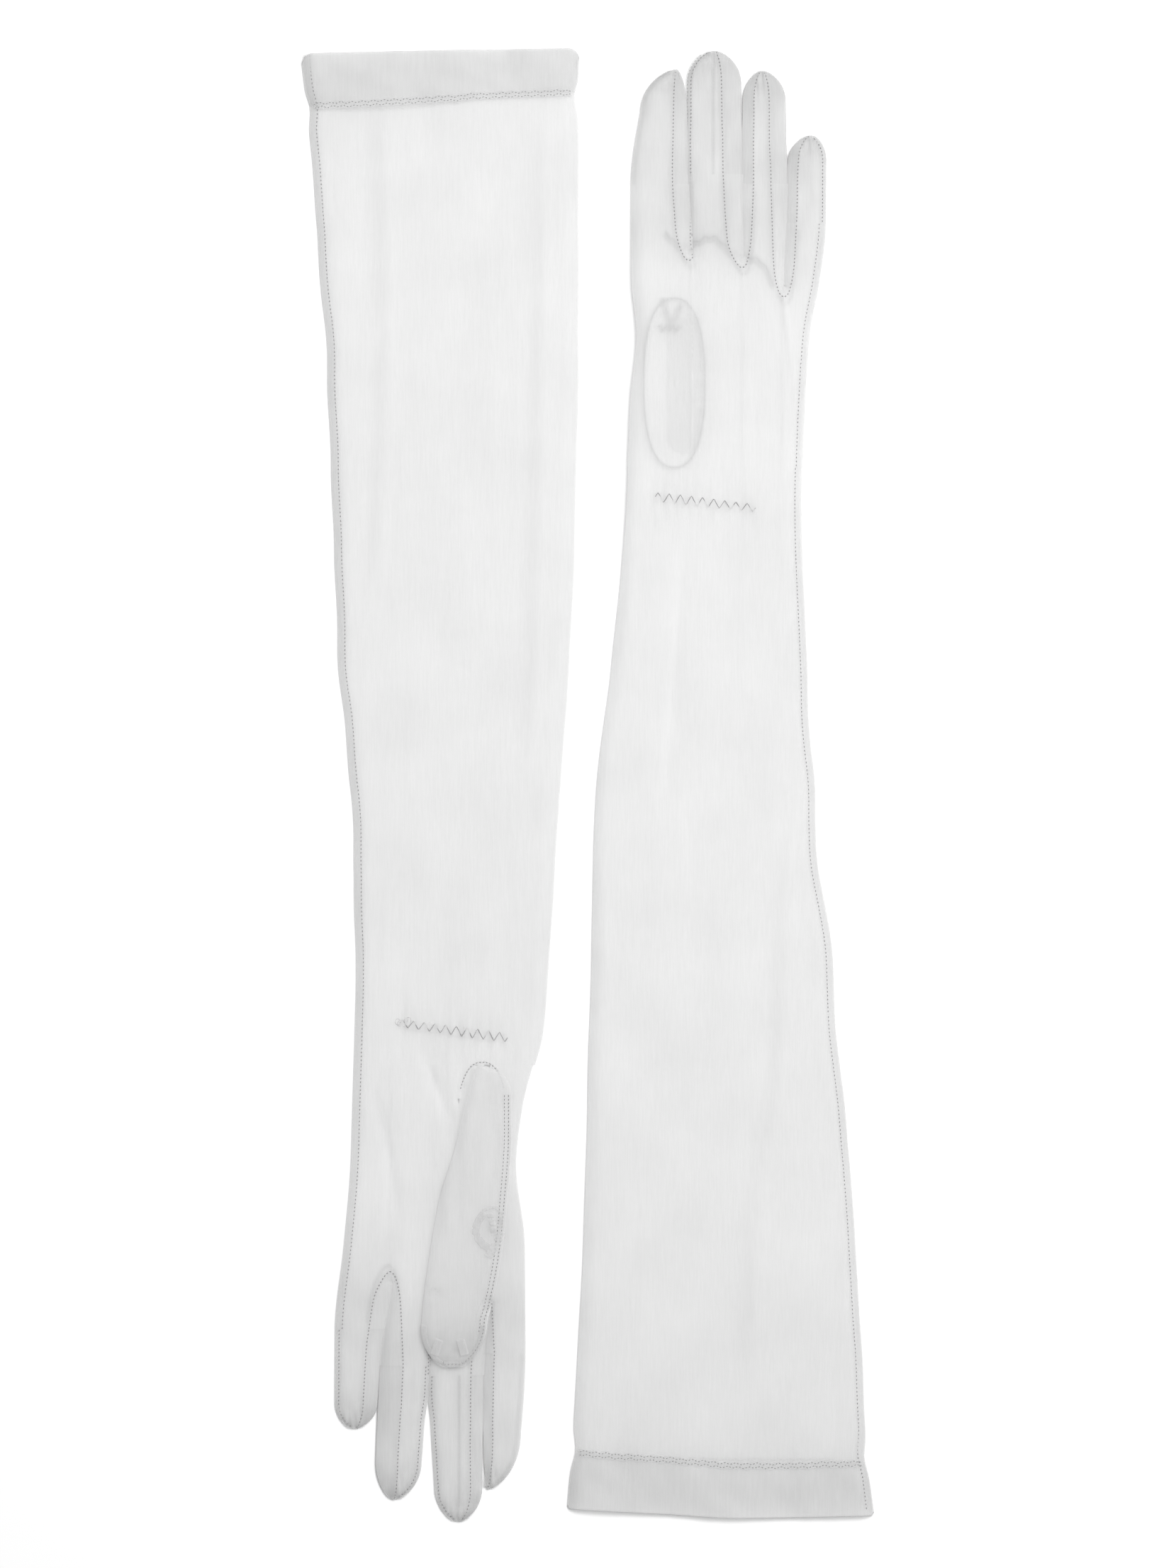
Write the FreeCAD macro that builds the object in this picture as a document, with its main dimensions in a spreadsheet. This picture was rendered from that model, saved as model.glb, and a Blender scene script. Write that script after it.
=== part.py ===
"""A pair of sheer opera gloves laid flat: a left glove palm up and a right glove back up.

Every glove is a flat tube of thin cloth, cut into an upper sleeve, a forearm sleeve, a hand,
four fingers and a thumb, because those are the lengths that fold against each other.  A glove
is drawn in its own frame: the origin on the table under the middle of the wrist, +Y towards
the fingertips, +X towards the little finger and +Z up.  The left glove is then turned end for
end, so that the two lie side by side with their fingers pointing opposite ways.
"""
import FreeCAD, Part
import os

import Sketcher

PLANE_ROLE = "XY_Plane"
SAME_POINT = 1e-6
CENTRE = 3  # a sketch's number for the centre point of an arc
UP = FreeCAD.Vector(0, 0, 1)
SIDES = ("left", "right")
FINGERS = ("index", "middle", "ring", "little")
UPPER_STATIONS = ("hem", "bicep", "elbow")
FOREARM_STATIONS = ("elbow", "bulk", "taper", "narrow", "wrist")
HAND_STATIONS = ("wrist", "heel", "waist", "knuckle")

# ---------------------------------------------------------------- driving dimensions, mm

COMMON = {
    "wall": 0.5,  # thickness that stands for the cloth of one panel
    "loft": 5.6,  # height of an empty sleeve, hand or finger as it lies
    "hem_wall": 0.7,  # the turned hem is two cloths thick
    "fold_wall": 0.8,  # width of the folded edge on the index side
    "seam_width": 1.6,  # seam allowance on the little finger side
    "gusset": 0.8,  # width of a fourchette strip
    "slit": 0.5,  # half of the gap between two fingers at the crotch
    "joint_gap": 0.15,  # half of the gap between two lengths that fold
    "thumb_height": 2.6,  # height of the flattened thumb stall
    "thumb_gap": 0.2,  # clear space between the thumb and the palm
    "elastic_width": 4.0,
    "elastic_back": 2.0,  # from the wrist line to the near edge of the elastic
}

# Where each glove's wrist stands on the table, how it is turned and how high its hand lies.
PLACES = {
    "left": {"place_x": -57.5, "place_y": -100.0, "turn": 180.0, "hand_lift": 0.0},
    "right": {"place_x": 51.0, "place_y": 116.0, "turn": 0.0, "hand_lift": 2.8},
}

# Stations along the arm: distance from the wrist, then the edge on the index side (the fold
# of the cloth) and the edge on the little finger side (the seam).
STATIONS = {
    "left": {
        "cuff": (-401.0, -54.0, 59.5),
        "hem": (-378.0, -53.6, 57.2),
        "bicep": (-271.0, -53.7, 49.3),
        "elbow": (-235.0, -53.0, 47.6),
        "bulk": (-155.0, -50.2, 44.2),
        "taper": (-94.0, -45.8, 39.2),
        "narrow": (-22.0, -41.2, 37.2),
        "wrist": (0.0, -39.4, 37.7),
        "heel": (33.0, -30.5, 38.7),
        "waist": (55.0, -28.2, 39.4),
        "knuckle": (88.0, -31.7, 42.2),
    },
    "right": {
        "cuff": (-414.0, -59.5, 66.0),
        "hem": (-390.0, -57.6, 63.6),
        "bicep": (-278.0, -52.0, 56.8),
        "elbow": (-235.0, -50.8, 52.6),
        "bulk": (-190.0, -49.7, 49.0),
        "taper": (-122.0, -47.9, 41.4),
        "narrow": (-68.0, -41.5, 38.9),
        "wrist": (0.0, -35.2, 36.4),
        "heel": (42.0, -33.6, 38.0),
        "waist": (68.0, -31.2, 39.8),
        "knuckle": (92.0, -33.2, 44.0),
    },
}

# Fingers: the fold line at the middle joint and the finger's two edges there, the end of its
# straight sides and the two edges there, and the tip.
FINGER_SIZES = {
    "left": {
        "index": (132.0, -32.0, -15.4, 181.0, -28.8, -15.2, 187.8),
        "middle": (141.0, -14.4, 5.6, 192.0, -13.2, 4.8, 201.0),
        "ring": (137.0, 6.4, 26.2, 183.5, 11.4, 28.4, 192.0),
        "little": (122.0, 27.0, 45.6, 155.5, 30.6, 45.6, 163.0),
    },
    "right": {
        "index": (130.0, -33.4, -10.8, 168.7, -28.2, -11.6, 177.0),
        "middle": (134.0, -10.0, 11.6, 174.5, -9.2, 11.0, 184.6),
        "ring": (130.0, 12.4, 29.8, 168.2, 13.0, 29.4, 176.4),
        "little": (114.0, 30.6, 46.2, 142.8, 32.0, 46.4, 150.0),
    },
}

# The lowest point of the slit between two neighbouring fingers: across, then along.
CROTCHES = {
    "left": {"index": (-17.4, 113.0), "middle": (4.6, 110.0), "ring": (22.6, 103.0)},
    "right": {"index": (-8.4, 103.0), "middle": (12.6, 100.0), "ring": (29.0, 88.0)},
}

# The wrist elastic runs across the middle of the palm side.
ELASTICS = {"left": (-25.0, 19.5), "right": (-23.5, 17.5)}

# The thumb.  On the left glove a hood stands over the hole in the palm and the stall lies on
# the palm, pointing at the fingertips.  On the right glove a flat insert closes the hole, and
# the stall lies folded back under it, pointing at the wrist.
LEFT_HOOD = ((-13.0, 14.5), (-26.4, 27.0), (-26.4, 45.0), (-23.8, 78.0),
             (6.0, 78.0), (-2.0, 50.0), (-9.0, 20.0))
LEFT_HOLE = ((-13.4, 16.4), (-25.2, 27.8), (-25.2, 45.0), (-22.8, 72.0),
             (3.2, 72.0), (-3.4, 50.0), (-9.6, 21.0))
LEFT_STALL = {"stall_root": 78.0, "stall_low": -23.6, "stall_high": 6.0,
              "stall_side": 126.0, "stall_side_low": -15.0, "stall_side_high": 10.0,
              "stall_tip": 138.0}
RIGHT_OVAL = {"oval_low": -28.6, "oval_high": -3.0, "oval_start": 26.0, "oval_end": 70.0,
              "oval_rise": 11.0}
RIGHT_STALL = {"stall_root": 76.0, "stall_low": -18.6, "stall_high": -4.6,
               "stall_side": 26.2, "stall_side_low": -18.2, "stall_side_high": -5.4,
               "stall_tip": 20.0}

doc = FreeCAD.newDocument("OperaGloves")
sheet = doc.addObject("Spreadsheet::Sheet", "Sizes")
next_row = 1


def set_size(alias, value):
    """Put one driving dimension in the sheet as a plain number with its own name."""
    global next_row
    cell = f"B{next_row}"
    sheet.set(f"A{next_row}", alias)
    sheet.set(cell, str(value))
    sheet.setAlias(cell, alias)
    next_row += 1


def fill_sheet():
    """Write every driving dimension into the sheet."""
    for alias, value in COMMON.items():
        set_size(alias, value)
    for side in SIDES:
        for alias, value in PLACES[side].items():
            set_size(f"{side}_{alias}", value)
        for station, values in STATIONS[side].items():
            for what, value in zip(("along", "fold", "seam"), values):
                set_size(f"{side}_{station}_{what}", value)
        for finger, values in FINGER_SIZES[side].items():
            names = ("crease", "low", "high", "side", "side_low", "side_high", "tip")
            for what, value in zip(names, values):
                set_size(f"{side}_{finger}_{what}", value)
        for finger, values in CROTCHES[side].items():
            for what, value in zip(("crotch_across", "crotch_along"), values):
                set_size(f"{side}_{finger}_{what}", value)
        for what, value in zip(("elastic_low", "elastic_high"), ELASTICS[side]):
            set_size(f"{side}_{what}", value)
    for alias, value in LEFT_STALL.items():
        set_size(f"left_{alias}", value)
    for alias, value in {**RIGHT_OVAL, **RIGHT_STALL}.items():
        set_size(f"right_{alias}", value)
    for name, corners in (("hood", LEFT_HOOD), ("hole", LEFT_HOLE)):
        for number, corner in enumerate(corners):
            for what, value in zip(("across", "along"), corner):
                set_size(f"left_{name}_{number}_{what}", value)
    doc.recompute()


def size(text):
    """The number that an expression over the sheet's names works out to."""
    value = sheet.evalExpression(text)
    return float(getattr(value, "Value", value))


def bound(text):
    """The same expression, as an object outside the sheet writes it."""
    words = []
    for word in text.replace("(", "( ").replace(")", " )").split():
        words.append(f"Sizes.{word}" if word[0].isalpha() else word)
    return " ".join(words)


# ---------------------------------------------------------------- sketches and bodies


class Arc:
    """A round end between two corners that are equally far along, reaching to `top`."""

    def __init__(self, top):
        self.top = top

    def curve(self, start, end):
        """The arc through both corners and the top."""
        middle = FreeCAD.Vector((start.x + end.x) / 2, size(self.top), 0)
        return Part.Arc(start, middle, end)

    def centre(self, start, end):
        """How far along the arc's centre lies, as an expression."""
        rise = f"( {self.top} - ( {start[1]} ) )"
        half_width = f"( ( {end[0]} - ( {start[0]} ) ) / 2 )"
        return f"{start[1]} + ( {rise} ^ 2 - {half_width} ^ 2 ) / ( 2 * {rise} )"


def add_loop(sketch, loop):
    """Draw one closed outline: corners as pairs of expressions, with an Arc between two."""
    corners = [item for item in loop if not isinstance(item, Arc)]
    points = [FreeCAD.Vector(size(x), size(y), 0) for x, y in corners]
    arcs = []
    for item in loop:
        if isinstance(item, Arc):
            arcs[-1] = item
        else:
            arcs.append(None)
    edges = []
    first_ends = []
    for number, arc in enumerate(arcs):
        start = points[number]
        end = points[(number + 1) % len(points)]
        curve = arc.curve(start, end) if arc else Part.LineSegment(start, end)
        edge = sketch.addGeometry(curve, False)
        starts_here = sketch.getPoint(edge, 1).distanceToPoint(start) < SAME_POINT
        edges.append(edge)
        first_ends.append(1 if starts_here else 2)
    for number, edge in enumerate(edges):
        following = (number + 1) % len(edges)
        last_end = 3 - first_ends[number]
        sketch.addConstraint(Sketcher.Constraint(
            "Coincident", edge, last_end, edges[following], first_ends[following]))
    for number, (x, y) in enumerate(corners):
        for kind, text in (("DistanceX", x), ("DistanceY", y)):
            index = sketch.addConstraint(Sketcher.Constraint(
                kind, -1, 1, edges[number], first_ends[number], size(text)))
            sketch.setExpression(f"Constraints[{index}]", bound(text))
    for number, arc in enumerate(arcs):
        if arc is None:
            continue
        centre = arc.centre(corners[number], corners[(number + 1) % len(corners)])
        index = sketch.addConstraint(Sketcher.Constraint(
            "DistanceY", -1, 1, edges[number], CENTRE, size(centre)))
        sketch.setExpression(f"Constraints[{index}]", bound(centre))


def add_sketch(body, name, loops, level="0"):
    """A sketch of closed outlines on the body's own XY plane, raised to a level."""
    sketch = body.newObject("Sketcher::SketchObject", name)
    plane = [item for item in body.Origin.OriginFeatures if item.Role == PLANE_ROLE][0]
    sketch.AttachmentSupport = (plane, [""])
    sketch.MapMode = "FlatFace"
    sketch.setExpression("AttachmentOffset.Base.z", bound(level))
    for loop in loops:
        add_loop(sketch, loop)
    return sketch


made = []


def slab(side, label, loops, level, height, hollow=None, hole=None):
    """One piece of cloth: outlines padded to a height, standing at a level.

    hollow is (outline, floor, height) of a space inside it.  hole is an outline cut through.
    """
    name = f"{side}_{label}"
    body = doc.addObject("PartDesign::Body", name)
    body.Label = name
    body.AllowCompound = True
    body.Placement = FreeCAD.Placement(
        FreeCAD.Vector(0, 0, 0), FreeCAD.Rotation(UP, size(f"{side}_turn")))
    body.setExpression("Placement.Base.x", bound(f"{side}_place_x"))
    body.setExpression("Placement.Base.y", bound(f"{side}_place_y"))
    body.setExpression("Placement.Base.z", bound(level))
    pad = body.newObject("PartDesign::Pad", f"{name}_pad")
    pad.Profile = add_sketch(body, f"{name}_outline", loops)
    pad.setExpression("Length", bound(height))
    body.Tip = pad
    doc.recompute()
    if hollow:
        outline, floor, space = hollow
        add_pocket(body, f"{name}_hollow", outline, f"{floor} + {space}", space)
    if hole:
        add_pocket(body, f"{name}_hole", hole, height, height)
    made.append(body)
    return body


def add_pocket(body, name, outline, top, depth):
    """Cut an outline down from a level by a depth, and check that it removed something."""
    before = body.Shape.Volume
    pocket = body.newObject("PartDesign::Pocket", f"{name}_cut")
    pocket.Profile = add_sketch(body, f"{name}_outline", [outline], top)
    pocket.setExpression("Length", bound(depth))
    body.Tip = pocket
    doc.recompute()
    if not body.Shape.Volume < before:
        raise ValueError(f"{name} cuts nothing")


# ---------------------------------------------------------------- outlines


def station_corners(side, stations, edge, inset="0", start_gap="0", end_gap="0"):
    """Corners up one edge of the glove, from the first station to the last."""
    corners = []
    for number, station in enumerate(stations):
        along = f"{side}_{station}_along"
        if number == 0:
            along += f" + ( {start_gap} )"
        if number == len(stations) - 1:
            along += f" - ( {end_gap} )"
        corners.append((f"{side}_{station}_{edge} + {inset}", along))
    return corners


def tube_outline(side, stations, start_gap, end_gap, inset="0"):
    """The whole flat outline of a length of sleeve."""
    fold_edge = station_corners(side, stations, "fold", inset, start_gap, end_gap)
    seam_edge = station_corners(side, stations, "seam", f"0 - {inset}", start_gap, end_gap)
    return fold_edge + seam_edge[::-1]


def strip_outline(side, stations, edge, width, start_gap, end_gap):
    """A strip along one edge of a length of sleeve."""
    outer = station_corners(side, stations, edge, "0", start_gap, end_gap)
    inner = station_corners(side, stations, edge, width, start_gap, end_gap)
    return outer + inner[::-1]


def hand_edge(side, edge, inset):
    """Corners up one edge of the hand, from the wrist to the outer finger's fold line."""
    finger, which = ("index", "low") if edge == "fold" else ("little", "high")
    corners = station_corners(side, HAND_STATIONS, edge, inset, "joint_gap")
    corners.append((f"{side}_{finger}_{which} + {inset}", f"{side}_{finger}_crease - joint_gap"))
    return corners


def slit_corners(side, finger, neighbour):
    """Corners down one side of the slit after a finger and up the other."""
    crotch = f"{side}_{finger}_crotch_across"
    depth = f"{side}_{finger}_crotch_along"
    return [
        (f"{side}_{finger}_high", f"{side}_{finger}_crease - joint_gap"),
        (f"{crotch} - slit", depth),
        (f"{crotch} + slit", depth),
        (f"{side}_{neighbour}_low", f"{side}_{neighbour}_crease - joint_gap"),
    ]


def hand_outline(side):
    """The hand with the lower half of each finger, and the slits between them."""
    corners = hand_edge(side, "fold", "0")
    for finger, neighbour in zip(FINGERS, FINGERS[1:]):
        corners += slit_corners(side, finger, neighbour)
    return corners + hand_edge(side, "seam", "0")[::-1]


def fourchette_outline(side, finger, neighbour):
    """The strip that lines the two sides and the bottom of one slit."""
    start, low, high, end = slit_corners(side, finger, neighbour)
    return [
        start, low, high, end,
        (f"{end[0]} + gusset", end[1]),
        (f"{high[0]} + gusset", f"{high[1]} - gusset"),
        (f"{low[0]} - gusset", f"{low[1]} - gusset"),
        (f"{start[0]} - gusset", start[1]),
    ]


def finger_outline(side, finger, inset="0", overrun="0"):
    """The upper half of a finger, from its fold line to its round tip."""
    name = f"{side}_{finger}"
    root = f"{name}_crease + joint_gap - {overrun}"
    shoulder = f"{name}_side"
    return [
        (f"{name}_high - {inset}", root),
        (f"{name}_side_high - {inset}", shoulder),
        Arc(f"{name}_tip - {inset}"),
        (f"{name}_side_low + {inset}", shoulder),
        (f"{name}_low + {inset}", root),
    ]


def finger_wall_outline(side, finger):
    """The band around a finger's two sides and tip."""
    return finger_outline(side, finger) + finger_outline(side, finger, "gusset")[::-1]


def oval_outline(side):
    """The long oval hole for the thumb."""
    low, high = f"{side}_oval_low", f"{side}_oval_high"
    return [
        (high, f"{side}_oval_start"),
        (high, f"{side}_oval_end"),
        Arc(f"{side}_oval_end + {side}_oval_rise"),
        (low, f"{side}_oval_end"),
        (low, f"{side}_oval_start"),
        Arc(f"{side}_oval_start - {side}_oval_rise"),
    ]


def numbered_outline(side, name, count):
    """An outline whose corners are numbered in the sheet."""
    return [(f"{side}_{name}_{n}_across", f"{side}_{name}_{n}_along") for n in range(count)]


def stall_outline(side, inset="0", overrun="0"):
    """The thumb stall, from its open root to its round tip, whichever way it points."""
    name = f"{side}_stall"
    forward = size(f"{name}_tip") > size(f"{name}_root")
    sign = "-" if forward else "+"
    opposite = "+" if forward else "-"
    root = f"{name}_root {opposite} joint_gap {sign} {overrun}"
    return [
        (f"{name}_high - {inset}", root),
        (f"{name}_side_high - {inset}", f"{name}_side"),
        Arc(f"{name}_tip {sign} {inset}"),
        (f"{name}_side_low + {inset}", f"{name}_side"),
        (f"{name}_low + {inset}", root),
    ]


def elastic_outline(side):
    """The elastic across the palm side, just above the wrist line."""
    low, high = f"{side}_elastic_low", f"{side}_elastic_high"
    near, far = "0 - elastic_back", "0 - elastic_back - elastic_width"
    return [(low, near), (low, far), (high, far), (high, near)]


# ---------------------------------------------------------------- the pieces


def panel_levels(side, lift):
    """Levels of the palm panel and the back panel: the left glove lies palm up."""
    bottom, top = lift, f"{lift} + loft - wall"
    return (top, bottom) if side == "left" else (bottom, top)


def panel_pair(side, label, loops, lift, palm_hole=None):
    """The palm panel and the back panel of one length."""
    palm, back = panel_levels(side, lift)
    slab(side, f"{label}_palm_panel", loops, palm, "wall", hole=palm_hole)
    slab(side, f"{label}_back_panel", loops, back, "wall")


def between_panels(side, label, loops, lift):
    """A strip that stands between the two panels and joins them."""
    slab(side, label, loops, f"{lift} + wall", "loft - 2 * wall")


def make_sleeve(side):
    """The hem, the upper sleeve, the forearm sleeve and the elastic."""
    cuff = tube_outline(side, ("cuff", "hem"), "0", "0")
    inside = tube_outline(side, ("cuff", "hem"), "0 - loft", "0 - loft", "fold_wall")
    slab(side, "hem", [cuff], "0", "loft", hollow=(inside, "hem_wall", "loft - 2 * hem_wall"))
    lengths = (
        ("upper", UPPER_STATIONS, "0", "joint_gap", None),
        ("forearm", FOREARM_STATIONS, "joint_gap", "joint_gap", elastic_outline(side)),
    )
    for label, stations, start_gap, end_gap, hole in lengths:
        outline = tube_outline(side, stations, start_gap, end_gap)
        panel_pair(side, label, [outline], "0", hole)
        for edge, piece, width in (("fold", "fold_edge", "fold_wall"),
                                   ("seam", "side_seam", "0 - seam_width")):
            strip = strip_outline(side, stations, edge, width, start_gap, end_gap)
            between_panels(side, f"{label}_{piece}", [strip], "0")
    palm, _ = panel_levels(side, "0")
    slab(side, "wrist_elastic", [elastic_outline(side)], palm, "wall")


def make_hand(side):
    """The hand's panels and edges, and the strips that line the slits between the fingers."""
    lift = f"{side}_hand_lift"
    hole = numbered_outline(side, "hole", len(LEFT_HOLE)) if side == "left" else oval_outline(side)
    panel_pair(side, "hand", [hand_outline(side)], lift, hole)
    for edge, piece, width in (("fold", "fold_edge", "fold_wall"),
                               ("seam", "side_seam", "0 - seam_width")):
        strip = hand_edge(side, edge, "0") + hand_edge(side, edge, width)[::-1]
        between_panels(side, f"hand_{piece}", [strip], lift)
    slits = [fourchette_outline(side, a, b) for a, b in zip(FINGERS, FINGERS[1:])]
    between_panels(side, "fourchette_crotches", slits, lift)


def make_fingers(side):
    """The folding half of each finger."""
    lift = f"{side}_hand_lift"
    for finger in FINGERS:
        panel_pair(side, finger, [finger_outline(side, finger)], lift)
        between_panels(side, f"{finger}_fourchette", [finger_wall_outline(side, finger)], lift)


def make_left_thumb():
    """The hood over the hole in the palm, and the stall that lies on the palm."""
    hood = numbered_outline("left", "hood", len(LEFT_HOOD))
    inside = numbered_outline("left", "hole", len(LEFT_HOLE))
    inside[3] = (inside[3][0], "left_stall_root + 1")
    inside[4] = (inside[4][0], "left_stall_root + 1")
    height = "thumb_height + thumb_gap"
    slab("left", "thumb_base", [hood], "loft", height,
         hollow=(inside, "0", f"{height} - wall"))
    make_stall("left", "loft + thumb_gap")


def make_right_thumb():
    """The flat insert that fills the hole in the palm, and the stall folded back under it."""
    slab("right", "thumb_base", [oval_outline("right")], "right_hand_lift", "wall")
    make_stall("right", "0")


def make_stall(side, level):
    """The thumb's free end, open at its root."""
    inside = stall_outline(side, "fold_wall", "2")
    slab(side, "thumb_stall", [stall_outline(side)], level, "thumb_height",
         hollow=(inside, "wall", "thumb_height - 2 * wall"))


def check_and_write():
    """Refuse a broken model, then write one STEP file for every piece."""
    for item in doc.Objects:
        if {"Invalid", "Error"} & set(item.State):
            raise ValueError(f"{item.Name} is {item.State}")
    for body in made:
        if body.Shape.isNull() or not body.Shape.isValid() or not body.Shape.Solids:
            raise ValueError(f"{body.Label} has no valid solid")
    for body in made:
        body.Shape.exportStep(f"parts/{body.Label}.step")


os.makedirs("parts", exist_ok=True)
fill_sheet()
for glove_side in SIDES:
    make_sleeve(glove_side)
    make_hand(glove_side)
    make_fingers(glove_side)
make_left_thumb()
make_right_thumb()
doc.recompute()
check_and_write()
whole = Part.makeCompound([body.Shape for body in made])
box = whole.BoundBox
print(f"{len(made)} pieces, X {box.XMin:.2f} {box.XMax:.2f}, Y {box.YMin:.2f} {box.YMax:.2f}, "
      f"Z {box.ZMin:.2f} {box.ZMax:.2f}")
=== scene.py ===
"""A pair of sheer opera gloves laid flat: the left with its palm up, the right with its back up.

Shapes are worked out in millimetres in each glove's own frame: the origin is on the table under the
middle of the wrist, Y runs to the fingertips, X to the little finger and Z up. Glove.place turns such
a point into the frame's metres.
"""

import bisect
import math

import bmesh
import bpy
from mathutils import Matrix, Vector, noise


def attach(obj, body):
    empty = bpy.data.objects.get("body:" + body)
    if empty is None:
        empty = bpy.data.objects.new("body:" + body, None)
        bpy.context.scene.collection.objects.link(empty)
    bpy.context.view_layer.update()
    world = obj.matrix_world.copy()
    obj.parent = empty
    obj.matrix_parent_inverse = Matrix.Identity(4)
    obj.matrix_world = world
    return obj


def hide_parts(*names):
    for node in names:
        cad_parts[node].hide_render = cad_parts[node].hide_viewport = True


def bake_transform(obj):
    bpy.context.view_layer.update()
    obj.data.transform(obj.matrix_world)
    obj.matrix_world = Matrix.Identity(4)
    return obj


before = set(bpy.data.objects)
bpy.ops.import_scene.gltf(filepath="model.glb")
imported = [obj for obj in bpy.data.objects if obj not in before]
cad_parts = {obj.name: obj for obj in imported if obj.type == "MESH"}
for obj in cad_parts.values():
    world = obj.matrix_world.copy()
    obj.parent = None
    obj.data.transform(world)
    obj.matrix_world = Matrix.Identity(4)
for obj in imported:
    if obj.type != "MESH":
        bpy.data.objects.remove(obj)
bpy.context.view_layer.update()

MM = 0.001
SEAM_LEVEL = 0.85  # height of the edges, where the two layers meet
SPLIT = 0.12  # half the space kept between the layers
EDGE_RADIUS = 5.5  # how far in from an edge the cloth still rises
FINGERS = ("index", "middle", "ring", "little")
ELBOW_Y = -235.0
ELBOW_END_Y = -209.0
WRIST_Y = 0.0
WRIST_END_Y = 14.0
FINGER_BEND = 14.0  # length of a finger's fold
THUMB_BEND = (78, 92)
NARROWEST = 10.1  # the least width taken for a narrow panel's cut size; the least width that a sheet can be declared with
# Painted shade over the fingers, partly for the light's fall-off.
FINGER_SHADE = 0.085
ALLOWANCE = (0.3, 1.4, 3.3)  # distances in from a sewn edge
SLEEVE_STEP = 2.8
HAND_STEP = 2.3

# Stations are (y, folded edge, sewn edge). A finger is its crease's y with the two edges there, the
# y where its tip starts with the two edges there, its tip's y, and how far in its two seams lie.
# Fingers part at the heights under "meet". The elastic is its two ends and the zigzags between them.
# Folds are (rise, width, (y, x) knots). The oval is the thumb hole's centre and half sizes.
LEFT = {
    "side": "left",
    "origin": (-57.5, -100.0),
    "turn": -1,
    "palm_up": True,
    "stations": (
        (-401, -54, 59.5),
        (-378, -53.6, 57.2),
        (-271, -53.7, 49.3),
        (-235, -53, 47.6),
        (-155, -50.2, 44.2),
        (-94, -45.8, 39.2),
        (-22, -41.2, 37.2),
        (0, -39.4, 37.7),
        (33, -30.5, 38.7),
        (55, -28.2, 39.4),
        (88, -31.7, 42.2),
    ),
    "hem_y": -378.0,
    "corner": 4.0,
    "cuff_bow": ((-54, -0.4), (10, 0.6), (60, 1.8)),
    "hem_bow": ((-54, -5.4), (-20, -4.2), (20, -1.6), (60, 0.4)),
    "lift": ((-401, 0), (200, 0)),
    "fingers": {
        "index": (132, -32, -14.9, 181, -28.8, -14.6, 187.8, 0, 4.4),
        "middle": (141, -14.8, 7.4, 192, -14.2, 5.0, 201, 5.4, 0),
        "ring": (137, 7.4, 27.6, 183.5, 11.0, 29.8, 192, 0, 9.8),
        "little": (122, 26.1, 45.8, 155.5, 28.8, 46.0, 163, 6.6, 0),
    },
    "meet": (170, 160, 152),
    "crotches": ((-17.4, 113), (4.6, 110), (22.6, 103)),
    "elastic": (-24.6, 3.0, 19.4, -3.0, 10),
    "folds": (
        (0.9, 3.2, ((-374, 27.5), (-281, 25.5), (-188, 29.3))),
        (0.8, 3.0, ((-370, -39), (-169, -36), (-108, -33))),
        (-0.8, 2.6, ((26, 30.7), (55, 23.8), (74, 21.8))),
        (-0.9, 2.2, ((6, 11.9), (38, -0.9))),
        (0.8, 1.4, ((0, -0.3), (21, -2.6), (40, -3.6))),
    ),
    "oval": (-14.3, 45.0, 10.2, 30.5),
    "tip_lean": {"index": 5.4, "ring": 1.6, "little": 0.6},
    "tip_taper": {"index": 16.0, "ring": 7.0, "little": 3.0, "middle": 5.0},
}
RIGHT = {
    "side": "right",
    "origin": (51.0, 116.0),
    "turn": 1,
    "palm_up": False,
    "stations": (
        (-414, -59.5, 66),
        (-390, -57.6, 63.6),
        (-278, -52, 56.8),
        (-235, -50.8, 52.6),
        (-190, -49.7, 49),
        (-122, -47.9, 41.4),
        (-68, -41.5, 38.9),
        (0, -35.2, 36.4),
        (42, -33.6, 38),
        (68, -31.2, 39.8),
        (92, -33.2, 44),
    ),
    "hem_y": -390.0,
    "corner": 1.2,
    "cuff_bow": ((-60, 2.4), (-20, 0.2), (12, -1.4), (66, -0.4)),
    "hem_bow": ((-60, 1.7), (-20, -1.4), (18, -4.0), (64, -2.8)),
    "lift": ((-414, 0), (-45, 0), (6, 2.6), (88, 2.6), (128, 0.5), (200, 0)),
    "fingers": {
        "index": (130, -33.4, -9.9, 168.7, -28.2, -10.6, 177, 0, 6.8),
        "middle": (134, -10.0, 12.2, 174.5, -10.2, 11.6, 184.6, 1.3, 8.2),
        "ring": (130, 12.1, 30.3, 168.2, 12.2, 29.8, 176.4, 4.8, 7.0),
        "little": (114, 30.3, 46.4, 142.8, 31.0, 46.6, 150, 4.4, 0),
    },
    "meet": (160, 160, 146),
    "crotches": ((-8.4, 103), (12.6, 100), (29, 88)),
    "elastic": (-23.5, 2.0, 17.4, -2.6, 9),
    "folds": (
        (0.9, 3.0, ((-355, 14.2), (-278, 18), (-239, 25.8), (-142, 29.6))),
        (0.8, 1.5, ((46, 34.0), (67, 31.3), (92, 28.2))),
        (-0.6, 2.4, ((-120, -20), (-20, -13))),
    ),
    "oval": (-15.8, 48.5, 12.5, 34.5),
    "tip_lean": {"index": 4.6, "ring": -0.8, "little": 1.6},
    "tip_taper": {"index": 9.0, "ring": 4.0, "little": 3.0},
}


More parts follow.
